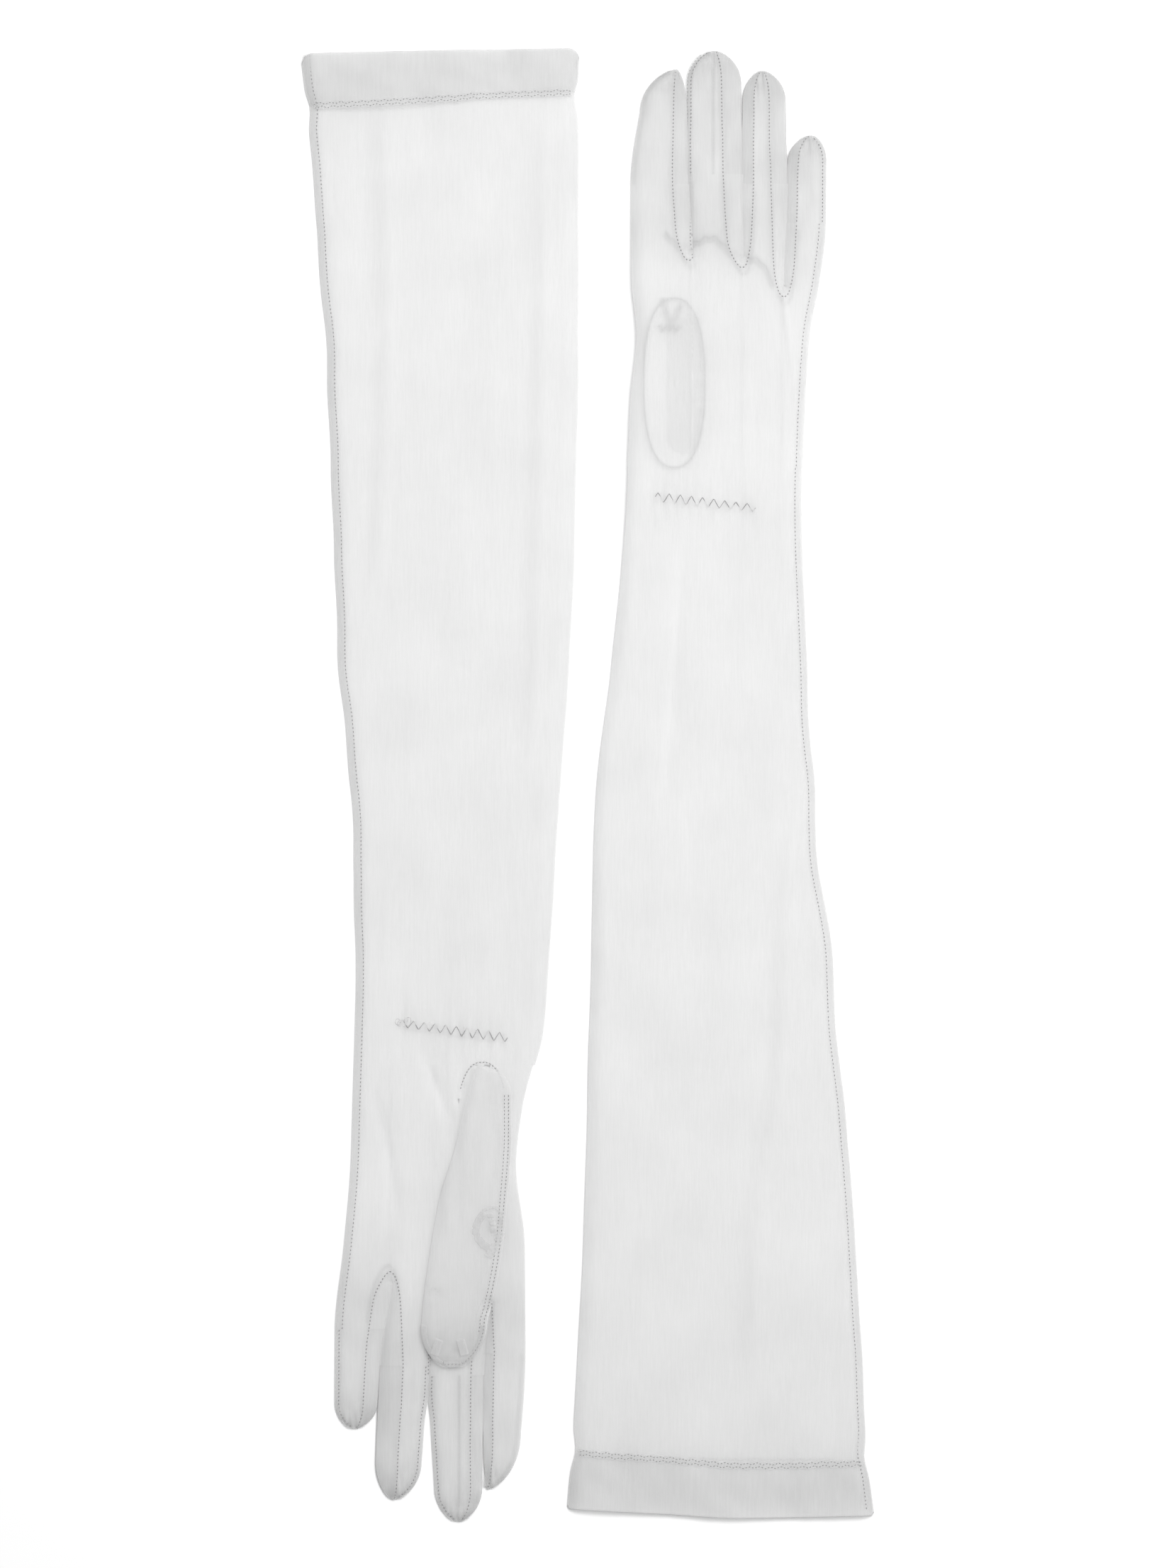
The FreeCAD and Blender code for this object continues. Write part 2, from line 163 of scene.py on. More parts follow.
def smooth_curve(knots):
    """Give a function that runs smoothly through (place, value) knots and never overshoots them."""
    knots = sorted(knots)
    places = [place for place, value in knots]
    values = [value for place, value in knots]
    steps = [b - a for a, b in zip(places, places[1:])]
    rises = [(b - a) / step for a, b, step in zip(values, values[1:], steps)]
    slopes = [rises[0]]
    for before, after in zip(rises, rises[1:]):
        slopes.append(2 * before * after / (before + after) if before * after > 0 else 0.0)
    slopes.append(rises[-1])

    def curve(place):
        place = min(max(place, places[0]), places[-1])
        i = min(bisect.bisect_right(places, place), len(steps)) - 1
        t = (place - places[i]) / steps[i]
        start = (1 + 2 * t) * (1 - t) ** 2 * values[i] + t * (1 - t) ** 2 * steps[i] * slopes[i]
        end = t * t * (3 - 2 * t) * values[i + 1] + t * t * (t - 1) * steps[i] * slopes[i + 1]
        return start + end

    return curve


def ease(value, low, high):
    """Rise smoothly from 0 at low to 1 at high."""
    t = min(max((value - low) / (high - low), 0.0), 1.0)
    return t * t * (3 - 2 * t)


def between(value, start, full, fading, end):
    """Rise smoothly from 0 to 1 and fall back to 0."""
    return ease(value, start, full) * (1 - ease(value, fading, end))


def hump(off, width):
    """A round hump, 1 in the middle."""
    return math.exp(-((off / width) ** 2))


def waver(x, y, seed):
    """A smooth random value from -1 to 1. Each use has its own seed."""
    return noise.noise(Vector((x, y, seed)))


def spread(low, high, step):
    """Even places from low to high about a step apart, ends included."""
    count = max(1, round((high - low) / step))
    return [low + (high - low) * i / count for i in range(count + 1)]


def edged(low, high, count):
    """Places from low to high, crowded towards both ends."""
    return [low + (high - low) * (1 - math.cos(math.pi * i / count)) / 2 for i in range(count + 1)]


def shape_tip(curve, point_x, start, tip, power):
    """Close an edge curve with a tapered, rounded end from start to a point at the tip."""
    last = curve(start)

    def closed(y):
        if y <= start:
            return curve(y)
        part = min((y - start) / (tip - start), 1.0)
        return point_x + (last - point_x) * (1 - part * part) ** power

    return closed


def close_gap(high, low, meet):
    """Bring two fingers' facing edges together below a height, overlapping by half a millimetre."""

    def joined(y, sign):
        own = high(y) if sign > 0 else low(y)
        if high(y) > low(y) + 0.5:
            return own
        middle = (high(y) + low(y)) / 2 + sign * 0.25
        return own + (1 - ease(y, meet - 14, meet)) * (middle - own)

    return (lambda y: joined(y, 1)), (lambda y: joined(y, -1))


class Finger:
    """One finger's outline: its two edges, its crease, its tip and the seams inside its edges."""

    def __init__(self, glove, order, name, facts):
        crease, low, high, side, side_low, side_high, tip, low_band, high_band = facts
        self.name = name
        self.order = order
        self.crease = crease
        self.side = side
        self.tip = tip
        self.band = {-1: low_band, 1: high_band}
        wrist_knots = {-1: [(y, fold) for y, fold, seam in glove.stations if y >= WRIST_Y]}
        wrist_knots[1] = [(y, seam) for y, fold, seam in glove.stations if y >= WRIST_Y]
        if order > 0:
            x, y = glove.crotches[order - 1]
            wrist_knots[-1] = [(WRIST_Y, x), (y, x)]
        if order < 3:
            x, y = glove.crotches[order]
            wrist_knots[1] = [(WRIST_Y, x), (y, x)]
        low_curve = smooth_curve(wrist_knots[-1] + [(crease, low), (side, side_low)])
        high_curve = smooth_curve(wrist_knots[1] + [(crease, high), (side, side_high)])
        point_x = (side_low + side_high) / 2 + glove.tip_lean.get(name, 0.0)
        taper = side - glove.tip_taper.get(name, 3.0)
        self.low = shape_tip(low_curve, point_x, taper, tip, 0.62)
        self.high = shape_tip(high_curve, point_x, taper, tip, 0.62)
        self.width = high - low

    def seam(self, y, sign):
        """Where the seam beside one edge runs."""
        edge = self.low(y) if sign < 0 else self.high(y)
        share = min(1.0, (self.high(y) - self.low(y)) / self.width)
        return edge - sign * self.band[sign] * share

    def rows(self, step):
        """Rows along the finger, closer together round the tip."""
        taper = self.side - 3.0
        along = spread(self.crease, taper, step)
        rise = self.tip - taper
        round_end = [taper + rise * math.sin(math.pi / 2 * i / 12) for i in range(1, 12)]
        return along + round_end + [self.tip - 0.03]


class Glove:
    """One glove's outline, heights and place on the table."""

    def __init__(self, facts):
        self.side_name = facts["side"]
        self.origin = facts["origin"]
        self.turn = facts["turn"]
        self.palm_up = facts["palm_up"]
        self.stations = facts["stations"]
        self.crotches = facts["crotches"]
        self.hem_y = facts["hem_y"]
        self.corner = facts["corner"]
        self.elastic = facts["elastic"]
        self.tip_lean = facts["tip_lean"]
        self.tip_taper = facts["tip_taper"]
        self.oval = facts["oval"]
        self.cuff_y = self.stations[0][0]
        self.fold_line = smooth_curve([(y, fold) for y, fold, seam in self.stations])
        self.seam_line = smooth_curve([(y, seam) for y, fold, seam in self.stations])
        self.cuff_bow = smooth_curve(facts["cuff_bow"])
        self.hem_bow = smooth_curve(facts["hem_bow"])
        self.lift = smooth_curve(facts["lift"])
        self.folds = [
            (height, width, knots[0][0], knots[-1][0], smooth_curve(knots))
            for height, width, knots in facts["folds"]
        ]
        self.shift = 31.0 if self.palm_up else 7.0
        self.fingers = [
            Finger(self, order, name, facts["fingers"][name]) for order, name in enumerate(FINGERS)
        ]
        for before, after, meet in zip(self.fingers, self.fingers[1:], facts["meet"]):
            before.high, after.low = close_gap(before.high, after.low, meet)

    def pinch(self, y):
        """How far the tight hem seam draws the edges in."""
        return 1.5 * hump(y - self.hem_y - 1, 6.5)

    def fold(self, y):
        """The folded edge, which wanders a little along the sleeve."""
        loose = 1 - ease(y, -60, -20)
        wander = 0.6 * waver(3.0, y / 42, self.shift)
        return self.fold_line(y) + self.pinch(y) + loose * wander

    def seam(self, y):
        """The sewn edge, which wanders a little more."""
        loose = 1 - ease(y, -60, -20)
        wander = 1.5 * waver(8.0, y / 33, self.shift)
        return self.seam_line(y) - self.pinch(y) + loose * wander

    def place(self, x, y, z):
        """Turn a point of this glove into the frame's metres."""
        return ((self.origin[0] + self.turn * x) * MM, (self.origin[1] + self.turn * y) * MM, z * MM)

    def body(self, name):
        """The name of one of this glove's bodies."""
        return f"{self.side_name}_{name}"

    def gap(self, x, y, finger):
        """How far a point lies from the nearest edge or crotch."""
        gaps = [40.0]
        if finger is None:
            gaps += [x - self.fold(y), self.seam(y) - x]
        else:
            if finger.order == 0 or y > self.crotches[finger.order - 1][1]:
                gaps.append(x - finger.low(y))
            if finger.order == 3 or y > self.crotches[finger.order][1]:
                gaps.append(finger.high(y) - x)
        for at_x, at_y in self.crotches:
            if y <= at_y and at_y - y < 12:
                gaps.append(math.hypot(x - at_x, y - at_y))
        if finger:
            gaps.append((finger.tip - y) * 1.1)
        return max(0.0, min(gaps))

    def roundness(self, x, y, finger):
        """From 0 at an edge to 1 where the cloth lies flat."""
        near = min(self.gap(x, y, finger) / EDGE_RADIUS, 1.0)
        return near * (2 - near)

    def pucker(self, x, y):
        """Short gathers above and below the elastic, and their strength."""
        start_x, start_y, end_x, end_y, cycles = self.elastic
        share = (x - start_x) / (end_x - start_x)
        middle = start_y + (end_y - start_y) * min(max(share, 0.0), 1.0)
        strength = between(share, -0.12, 0.06, 0.94, 1.12) * hump(y - middle, 8.5)
        wander = 1.6 * waver(x / 9, y / 16, self.shift)
        return strength * math.sin(2 * math.pi * (share * cycles + wander * 0.35)), strength

    def relief(self, x, y):
        """How far the upper layer stands above or below its mean height."""
        broad = waver(x / 17, y / 95, self.shift)
        fine = waver(x / 5.2, y / 46, self.shift + 4)
        across = waver(x / 38, y / 19, self.shift + 9)
        height = 0.75 * broad + 0.26 * fine + 0.3 * across
        for rise, width, first, last, line in self.folds:
            along = between(y, first - 12, first + 14, last - 14, last + 12)
            if along > 0:
                height += rise * along * hump(x - line(y), width)
        wave, strength = self.pucker(x, y)
        height += 0.85 * wave - 0.5 * strength
        hem = hump(y - self.hem_y, 6.0)
        height += hem * (0.2 * math.sin(x / 2.6 + 2 * broad) - 0.3)
        if not self.palm_up:
            right_of_oval = hump(x + 4.2, 3.0) * between(y, 26, 34, 52, 60)
            height += 0.7 * right_of_oval * math.sin(y / 0.95)
        return height

    def loft(self, y):
        """The mean height of the upper layer above the lower."""
        return 3.4 - 0.5 * hump(y - 5, 40) - 0.6 * ease(y, 70, 125)

    def top(self, x, y, finger=None):
        """Height of the upper layer."""
        edge = self.lift(y) + SEAM_LEVEL
        rise = self.loft(y) + self.relief(x, y) - SEAM_LEVEL
        return edge + max(rise, 0.9) * self.roundness(x, y, finger)

    def bottom(self, x, y, finger=None):
        """Height of the lower layer."""
        small = 0.22 * waver(x / 14, y / 60, self.shift + 20)
        edge = self.lift(y) + SEAM_LEVEL
        return edge - (0.5 - small) * self.roundness(x, y, finger)

    def finger_at(self, x, y):
        """The finger whose column holds a point."""
        return min(self.fingers, key=lambda f: max(f.low(y) - x, x - f.high(y)))

    def split(self, x, y):
        """Half the space that keeps the two layers unjoined, nothing at the folded edge."""
        return SPLIT * min(max((x - self.fold(y)) / 3.0, 0.0), 1.0)

    def layer_point(self, x, y, side, finger=None):
        """A point of the upper layer (side 1) or the lower one (side -1), with its shade."""
        height = self.top if side > 0 else self.bottom
        z = height(x, y, finger) + side * self.split(x, y)
        return x, y, z, self.tone(x, y, finger)

    def tone(self, x, y, finger=None):
        """Shade painted into the cloth's colour: painted shade and painted highlight along folds; painted
        shade in the gathers by the elastic, over the fingers and towards the right glove's cuff; greyer
        at fingertips, for a stain and the painted shade of the gathers there. greyer at fingertips, along
        folds and in gathers.
        """
        shade = 1.0
        if finger:
            # Fingers darker: partly painted shade for the light falling off, partly the greyer look of
            # their extra cloth layers, with random spots.
            root = min(self.crotches[0][1], finger.crease - 22)
            spots = waver(x / 7, y / 13, self.shift)
            shade -= (FINGER_SHADE + 0.06 * spots) * ease(y, root - 16, root + 14)
            # Darker towards the tip: a stain, and painted shade for the gathers there.
            reach = ease(y, finger.side - 14, finger.tip)
            tip_stain_and_shade = 0.17 if self.palm_up else 0.11
            shade -= tip_stain_and_shade * reach * (0.75 + 0.6 * waver(x / 3.5, y / 4.5, 3.0))
        if self.palm_up:
            beside = ease(-x, 16, 24) * between(y, 50, 75, 108, 130)
            shade -= 0.06 * beside
        else:
            # Right glove: painted shade towards the cuff, where the light falls off, and a little darker
            # over the hand.
            shade -= 0.045 * (1 - ease(y, -440, -290)) + 0.02 * ease(y, 10, 45)
        # Painted shade in the hollows of the gathers by the elastic.
        wave, strength = self.pucker(x, y)
        shade -= 0.05 * strength * max(0.0, -wave)
        # Painted shade along broad ridges and narrow hollows of the folds, painted highlight along broad
        # hollows and narrow ridges.
        for rise, width, first, last, line in self.folds:
            along = between(y, first - 12, first + 14, last - 14, last + 12)
            if along > 0:
                painted_fold_shade = 0.035 if width > 2 else -0.028
                shade -= math.copysign(1, rise) * painted_fold_shade * along * hump(x - line(y), 0.7 * width)
        return shade


class Piece:
    """A mesh under construction in one glove's frame."""

    def __init__(self, glove, name):
        self.glove = glove
        self.name = f"{glove.side_name}_cloth_{name}"
        self.bm = bmesh.new()
        # Per-point factor multiplied into the colour: painted shade and painted highlight, stains, and
        # seam and layer tones.
        self.wear = self.bm.verts.layers.float_color.new("wear")

    def vertex(self, x, y, z, shade=1.0):
        """Add one point with its shade."""
        vert = self.bm.verts.new(self.glove.place(x, y, z))
        vert[self.wear] = (shade, shade, shade, 1.0)
        return vert

    def grid(self, rows, slot=0):
        """Join rows of points into quads."""
        made = [[self.vertex(*point) for point in row] for row in rows]
        for near, far in zip(made, made[1:]):
            for i in range(len(near) - 1):
                face = self.bm.faces.new((near[i], near[i + 1], far[i + 1], far[i]))
                face.material_index = slot
        return made

    def ribbon(self, path, width, drop=0.25, wave=0.0, shade=0.97):
        """Lay a narrow strip of cloth along a path."""
        rows = []
        for i, (x, y, z) in enumerate(path):
            before = path[max(i - 1, 0)]
            after = path[min(i + 1, len(path) - 1)]
            along = Vector((after[0] - before[0], after[1] - before[1], 0))
            along = along.normalized() if along.length > 1e-6 else Vector((0, 1, 0))
            side = Vector((-along.y, along.x, 0)) * width / 2
            lift = wave * math.sin(i * 0.9)
            near = (x - side.x, y - side.y, z - drop - lift, shade)
            far = (x + side.x, y + side.y, z - drop + lift, shade)
            rows.append([near, (x, y, z - drop + 0.15, shade), far])
        self.grid(rows)

    def stitches(self, path, pitch=1.5, length=0.85, radius=0.25, lift=0.22):
        """Set small stitches of thread along a path."""
        for x, y, z, along in walk(path, pitch):
            side = Vector((-along.y, along.x, 0)).normalized() * radius
            ahead = along * length / 2
            middle = Vector((x, y, z + lift))
            ends = [self.vertex(*(middle + side_step)) for side_step in (-ahead, ahead)]
            ring = [
                self.vertex(x + side.x, y + side.y, z + lift),
                self.vertex(x, y, z + lift + radius),
                self.vertex(x - side.x, y - side.y, z + lift),
                self.vertex(x, y, z + lift - radius),
            ]
            for i in range(4):
                for end, order in ((ends[0], 1), (ends[1], -1)):
                    corners = (ring[i], ring[(i + 1) % 4], end)[::order]
                    self.bm.faces.new(corners).material_index = 1

    def thread(self, path, radius, slot=1, shade=1.0):
        """Lay a round thread along a path."""
        rows = []
        for i, point in enumerate(path):
            along = Vector(path[min(i + 1, len(path) - 1)]) - Vector(path[max(i - 1, 0)])
            side = Vector((-along.y, along.x, 0)).normalized() * radius
            ring = []
            for corner in range(7):
                turn = math.pi * corner / 3
                x = point[0] + side.x * math.cos(turn)
                y = point[1] + side.y * math.cos(turn)
                ring.append((x, y, point[2] + radius * math.sin(turn), shade))
            rows.append(ring)
        self.grid(rows, slot)

    def done(self, kind, bodies, bend=None, nodes=()):
        """Make the object. Without a bend it rides one body; with a bend its placing is only baked into
        the mesh.
        """
        materials, weld = CLOTH_KINDS[kind]
        bmesh.ops.remove_doubles(self.bm, verts=self.bm.verts, dist=weld * MM)
        for face in self.bm.faces:
            face.smooth = True
        mesh = bpy.data.meshes.new(self.name)
        self.bm.to_mesh(mesh)
        self.bm.free()
        for material in materials:
            mesh.materials.append(material)
        cloth = bpy.data.objects.new(self.name, mesh)
        bpy.context.scene.collection.objects.link(cloth)
        body, place = self.glove.body, self.glove.place
        if bend:
            start, end = place(0, bend[0], 0), place(0, bend[1], 0)
            body(bodies[0])
            body(bodies[1])
            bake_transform(cloth)
            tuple(start)
            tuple(end)
        else:
            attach(cloth, body(bodies[0]))
        if nodes:
            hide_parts(*[body(node) for node in nodes])
        return cloth


def walk(path, pitch):
    """Even places along a path, each with the direction there."""
    points = [Vector(point) for point in path]
    left = pitch / 2
    for a, b in zip(points, points[1:]):
        run = (b - a).length
        if run < 1e-9:
            continue
        while left < run:
            at = a.lerp(b, left / run)
            yield at.x, at.y, at.z, (b - a) / run
            left += pitch
        left -= run


def rounded(points, count=40):
    """A smooth line through a few (x, y) points."""
    across = smooth_curve([(i, point[0]) for i, point in enumerate(points)])
    along = smooth_curve([(i, point[1]) for i, point in enumerate(points)])
    last = len(points) - 1
    return [(across(last * i / count), along(last * i / count)) for i in range(count + 1)]


def add_node(tree, kind, values, wires):
    """Add a shader node with its constants and the outputs wired into it."""
    node = tree.nodes.new("ShaderNode" + kind)
    for socket, value in values.items():
        node.inputs[socket].default_value = value
    for socket, output in wires.items():
        tree.links.new(output, node.inputs[socket])
    return node


def noise_field(tree, place, scale, detail):
    """A noise over the given coordinates."""
    node = add_node(tree, "TexNoise", {"Scale": scale, "Detail": detail}, {"Vector": place})
    return node.outputs["Fac"]


def darken(tree, field, least):
    """Turn a noise into a factor between a least value and 1."""
    limits = {"From Min": 0.3, "From Max": 0.7, "To Min": least, "To Max": 1.0}
    return add_node(tree, "MapRange", limits, {"Value": field}).outputs["Result"]


def multiply(tree, first, second):
    """The product of two outputs."""
    node = add_node(tree, "Math", {}, {0: first, 1: second})
    node.operation = "MULTIPLY"
    return node.outputs["Value"]


def cloth_material(name, tone, alpha, rib, rough, grain):
    """Fine warp-knit cloth: lengthwise ribs, soft mottling and a shade painted on the mesh."""
    material = bpy.data.materials.new(name)
    material.use_nodes = True
    tree = material.node_tree
    shader = tree.nodes["Principled BSDF"]
    shader.inputs["Alpha"].default_value = alpha
    shader.inputs["Sheen Weight"].default_value = 0.12
    shader.inputs["Sheen Roughness"].default_value = 0.5
    shader.inputs["Specular IOR Level"].default_value = 0.25
    place = tree.nodes.new("ShaderNodeTexCoord").outputs["Object"]
    lengthwise = add_node(tree, "Mapping", {"Scale": (1.0, 0.07, 0.3)}, {"Vector": place})
    ribs = noise_field(tree, lengthwise.outputs["Vector"], 1500.0, 3.0)
    mottle = noise_field(tree, place, 34.0, 5.0)
    knit = noise_field(tree, place, 2100.0, 2.0)
    # The per-point factor from the mesh: painted shade and painted highlight, and stains.
    wear = tree.nodes.new("ShaderNodeAttribute")
    wear.attribute_name = "wear"
    pattern = multiply(tree, darken(tree, ribs, 1.0 - rib), darken(tree, mottle, 0.95))
    tint = tree.nodes.new("ShaderNodeMix")
    tint.data_type = "RGBA"
    tint.inputs["A"].default_value = (0.0, 0.0, 0.0, 1.0)
    tint.inputs["B"].default_value = (tone, tone, tone, 1.0)
    tree.links.new(multiply(tree, pattern, wear.outputs["Fac"]), tint.inputs["Factor"])
    tree.links.new(tint.outputs["Result"], shader.inputs["Base Color"])
    matt = add_node(tree, "MapRange", {"To Min": rough - 0.08, "To Max": rough + 0.08}, {"Value": mottle})
    tree.links.new(matt.outputs["Result"], shader.inputs["Roughness"])
    weave = add_node(tree, "Math", {1: 0.35}, {0: knit, 2: ribs})
    weave.operation = "MULTIPLY_ADD"
    relief = {"Strength": grain, "Distance": 0.0002}
    bump = add_node(tree, "Bump", relief, {"Height": weave.outputs["Value"]})
    tree.links.new(bump.outputs["Normal"], shader.inputs["Normal"])
    return material


def sheet_area(low, high, rows):
    """The area between two edges, in square metres."""
    total = 0.0
    for a, b in zip(rows, rows[1:]):
        total += (b - a) * ((high(a) - low(a)) + (high(b) - low(b))) / 2
    return total * MM * MM


def make_sleeve(glove, name, first, last, bodies, bend, nodes):
    """One stretch of the sleeve: a single sheet folded along one edge, both layers."""
    piece = Piece(glove, name)
    rows = spread(first, last, SLEEVE_STEP)
    grid = []
    for y in rows:
        low, high = glove.fold(y), glove.seam(y)
        xs = edged(low, high, 56)
        near_hem = 1 - ease(y, glove.hem_y, glove.hem_y + 34)
        upper = []
        lower = []
        for x in xs:
            at = y + near_hem * glove.hem_bow(x)
            upper.append((x, at, glove.top(x, y) + glove.split(x, y), glove.tone(x, y)))
            lower.append((x, at, glove.bottom(x, y) - glove.split(x, y), glove.tone(x, y)))
        grid.append(list(reversed(upper)) + lower[1:])
    piece.grid(grid)
    cloth = piece.done("panel_cloth", bodies, bend, nodes)
    width = 2 * max(glove.seam(y) - glove.fold(y) for y in rows) * MM
    area = 2 * sheet_area(glove.fold, glove.seam, rows)


def make_hem(glove):
    """The turned hem: cloth that runs inside, round the cuff edge and back outside."""
    piece = Piece(glove, "turned_hem")
    cuff, hem = glove.cuff_y, glove.hem_y
    inner = [(y, 0.55) for y in spread(cuff + 1.2, hem + 1.6, 3.0)][::-1]
    turned = [(cuff + 0.35, 0.42), (cuff, 0.2), (cuff + 0.35, 0.0)]
    outer = [(y, 0.0) for y in spread(cuff + 1.2, hem, 3.0)]
    grid = []
    for y, inset in inner + turned + outer:
        low, high = glove.fold(y) + inset, glove.seam(y) - inset
        xs = edged(low, high, 56)
        upper = []
        lower = []
        for x in xs:
            at = min(max(x, glove.fold(y)), glove.seam(y))
            flare = 0.35 * math.sin(at / 7.5 + 1.0) * (1 - ease(y, cuff, cuff + 14))
            part = (y - cuff) / (hem - cuff)
            near_end = min(glove.corner, max(0.0, glove.corner - min(x - low, high - x)))
            corner = glove.corner - math.sqrt(glove.corner ** 2 - near_end ** 2)
            along = y + part * glove.hem_bow(x) + (1 - part) * (glove.cuff_bow(x) + corner)
            tone = 1 + 0.05 * waver(x / 13 + y / 17, y / 11, glove.shift)
            upper.append((x, along, glove.top(at, y) - inset + glove.split(at, y) + flare, tone))
            lower.append((x, along, glove.bottom(at, y) + 0.6 * inset - glove.split(at, y), tone))
        grid.append(list(reversed(upper)) + lower[1:])
    piece.grid(grid)
    cloth = piece.done("hem_cloth", ("upper",), nodes=("hem",))
    width = 2 * (glove.seam(cuff) - glove.fold(cuff)) * MM


def make_hem_stitching(glove):
    """The line of stitches that holds the hem, in the upper layer and in the lower."""
    seam = Piece(glove, "hem_stitching")
    low, high = glove.fold(glove.hem_y) + 1.5, glove.seam(glove.hem_y) - 1.5
    for height, rise, proud, slant in ((glove.top, 0.34, 0.06, 0.0), (glove.bottom, 0.25, -0.06, 1.6)):
        grid = []
        lines = {-0.7: [], 0.8: []}
        for x in spread(low, high, 0.5):
            sway = 0.5 * waver(x / 7, 0.0, glove.shift)
            middle = glove.hem_y + slant * math.sin(x / 23 + 0.6) + sway
            row = []
            for off in (-1.6, -0.8, 0.0, 0.8, 1.6):
                y = middle + off + 0.2 * math.sin(x / 0.8)
                row.append((x, y + glove.hem_bow(x), height(x, y) + rise, 1.12))
            grid.append(row)
            for off, line in lines.items():
                y = middle + off + 0.3 * math.sin(x / 0.7 + off)
                line.append((x, y + glove.hem_bow(x), height(x, y) + rise + proud))
        seam.grid(grid)
        for off, line in lines.items():
            seam.stitches(line, pitch=1.3 + 0.1 * abs(off), length=0.8, radius=0.16, lift=0.05)
    seam.done("seam_cloth", ("upper",))


def allowance_row(glove, edge, y, wander=0.0):
    """Points across the allowance that is turned inside a sewn edge."""
    level = glove.lift(y) + SEAM_LEVEL + 0.12
    return [(edge - off + (wander if off > 1 else 0), y, level + 0.2 * off, 0.94) for off in ALLOWANCE]


def make_side_seam(glove, name, first, last, bodies, bend, node):
    """The long seam's allowance, turned inside, with the stitches that show through the cloth."""
    piece = Piece(glove, name)
    grid = []
    for y in spread(first, last, SLEEVE_STEP):
        wander = 0.35 * waver(0.0, y / 9, glove.shift)
        grid.append(allowance_row(glove, glove.seam(y), y, wander))
    piece.grid(grid)
    line = [(glove.seam(y) - 2.9, y) for y in spread(first, last, 3.0)]
    piece.stitches([(x, y, glove.top(x, y)) for x, y in line], pitch=1.6, lift=0.26, radius=0.21)
    piece.stitches([(x, y, glove.bottom(x, y)) for x, y in line], pitch=1.7, lift=-0.05, radius=0.17)
    piece.done("seam_cloth", bodies, bend, (node,))


def oval_point(oval, turn, scale=1.0):
    """A point on the thumb hole's rounded outline."""
    x, y, half_width, half_length = oval
    c, s = math.cos(turn), math.sin(turn)
    across = math.copysign(abs(c) ** 0.83, c)
    along = math.copysign(abs(s) ** 0.83, s)
    return x + scale * half_width * across, y + scale * half_length * along


def in_oval(oval, x, y):
    """Below 1 inside the thumb hole, 1 on its edge."""
    centre_x, centre_y, half_width, half_length = oval
    return abs((x - centre_x) / half_width) ** 2.4 + abs((y - centre_y) / half_length) ** 2.4


def clear_of_oval(glove, x, y):
    """Move a point that is close to the thumb hole's edge onto that edge."""
    value = in_oval(glove.oval, x, y)
    if value <= 0.01:
        return x, y
    pull = value ** (-1 / 2.4)
    at_x = glove.oval[0] + (x - glove.oval[0]) * pull
    at_y = glove.oval[1] + (y - glove.oval[1]) * pull
    if math.hypot(at_x - x, at_y - y) < 1.35:
        return at_x, at_y
    return x, y


def make_hand(glove):
    """The hand: both layers in one sheet, with the thumb hole and the lower parts of the fingers."""
    piece = Piece(glove, "hand")
    holed = 1 if glove.palm_up else -1
    levels = spread(WRIST_END_Y, max(f.crease for f in glove.fingers), HAND_STEP)
    levels += [y for x, y in glove.crotches] + [f.crease for f in glove.fingers]
    levels = sorted(set(levels))
    levels = [y for i, y in enumerate(levels) if i == 0 or y - levels[i - 1] > 0.01]
    for finger in glove.fingers:
        rows = [y for y in levels if y <= finger.crease]
        for side in (1, -1):
            grid = []
            for y in rows:
                points = [(x, y) for x in edged(finger.low(y), finger.high(y), 16)]
                if side == holed:
                    points = [clear_of_oval(glove, x, y) for x, y in points]
                grid.append([glove.layer_point(x, y, side, finger) for x, y in points])
            made = piece.grid(grid)
            if side == holed:
                cut_hole(piece, glove, {vert for row in made for vert in row})
    panels = ("hand_palm_panel", "hand_back_panel", "hand_fold_edge")
    cloth = piece.done("panel_cloth", ("hand",), nodes=panels)
    rows = spread(WRIST_END_Y, 118.0, 4.0)
    area = 2 * sheet_area(glove.fold, glove.seam, rows)


def cut_hole(piece, glove, verts):
    """Take out the faces inside the thumb hole."""
    gone = []
    for face in {face for vert in verts for face in vert.link_faces}:
        middle = face.calc_center_median() / MM
        x = (middle.x - glove.origin[0]) * glove.turn
        y = (middle.y - glove.origin[1]) * glove.turn
        if in_oval(glove.oval, x, y) < 0.96:
            gone.append(face)
    bmesh.ops.delete(piece.bm, geom=gone, context="FACES")


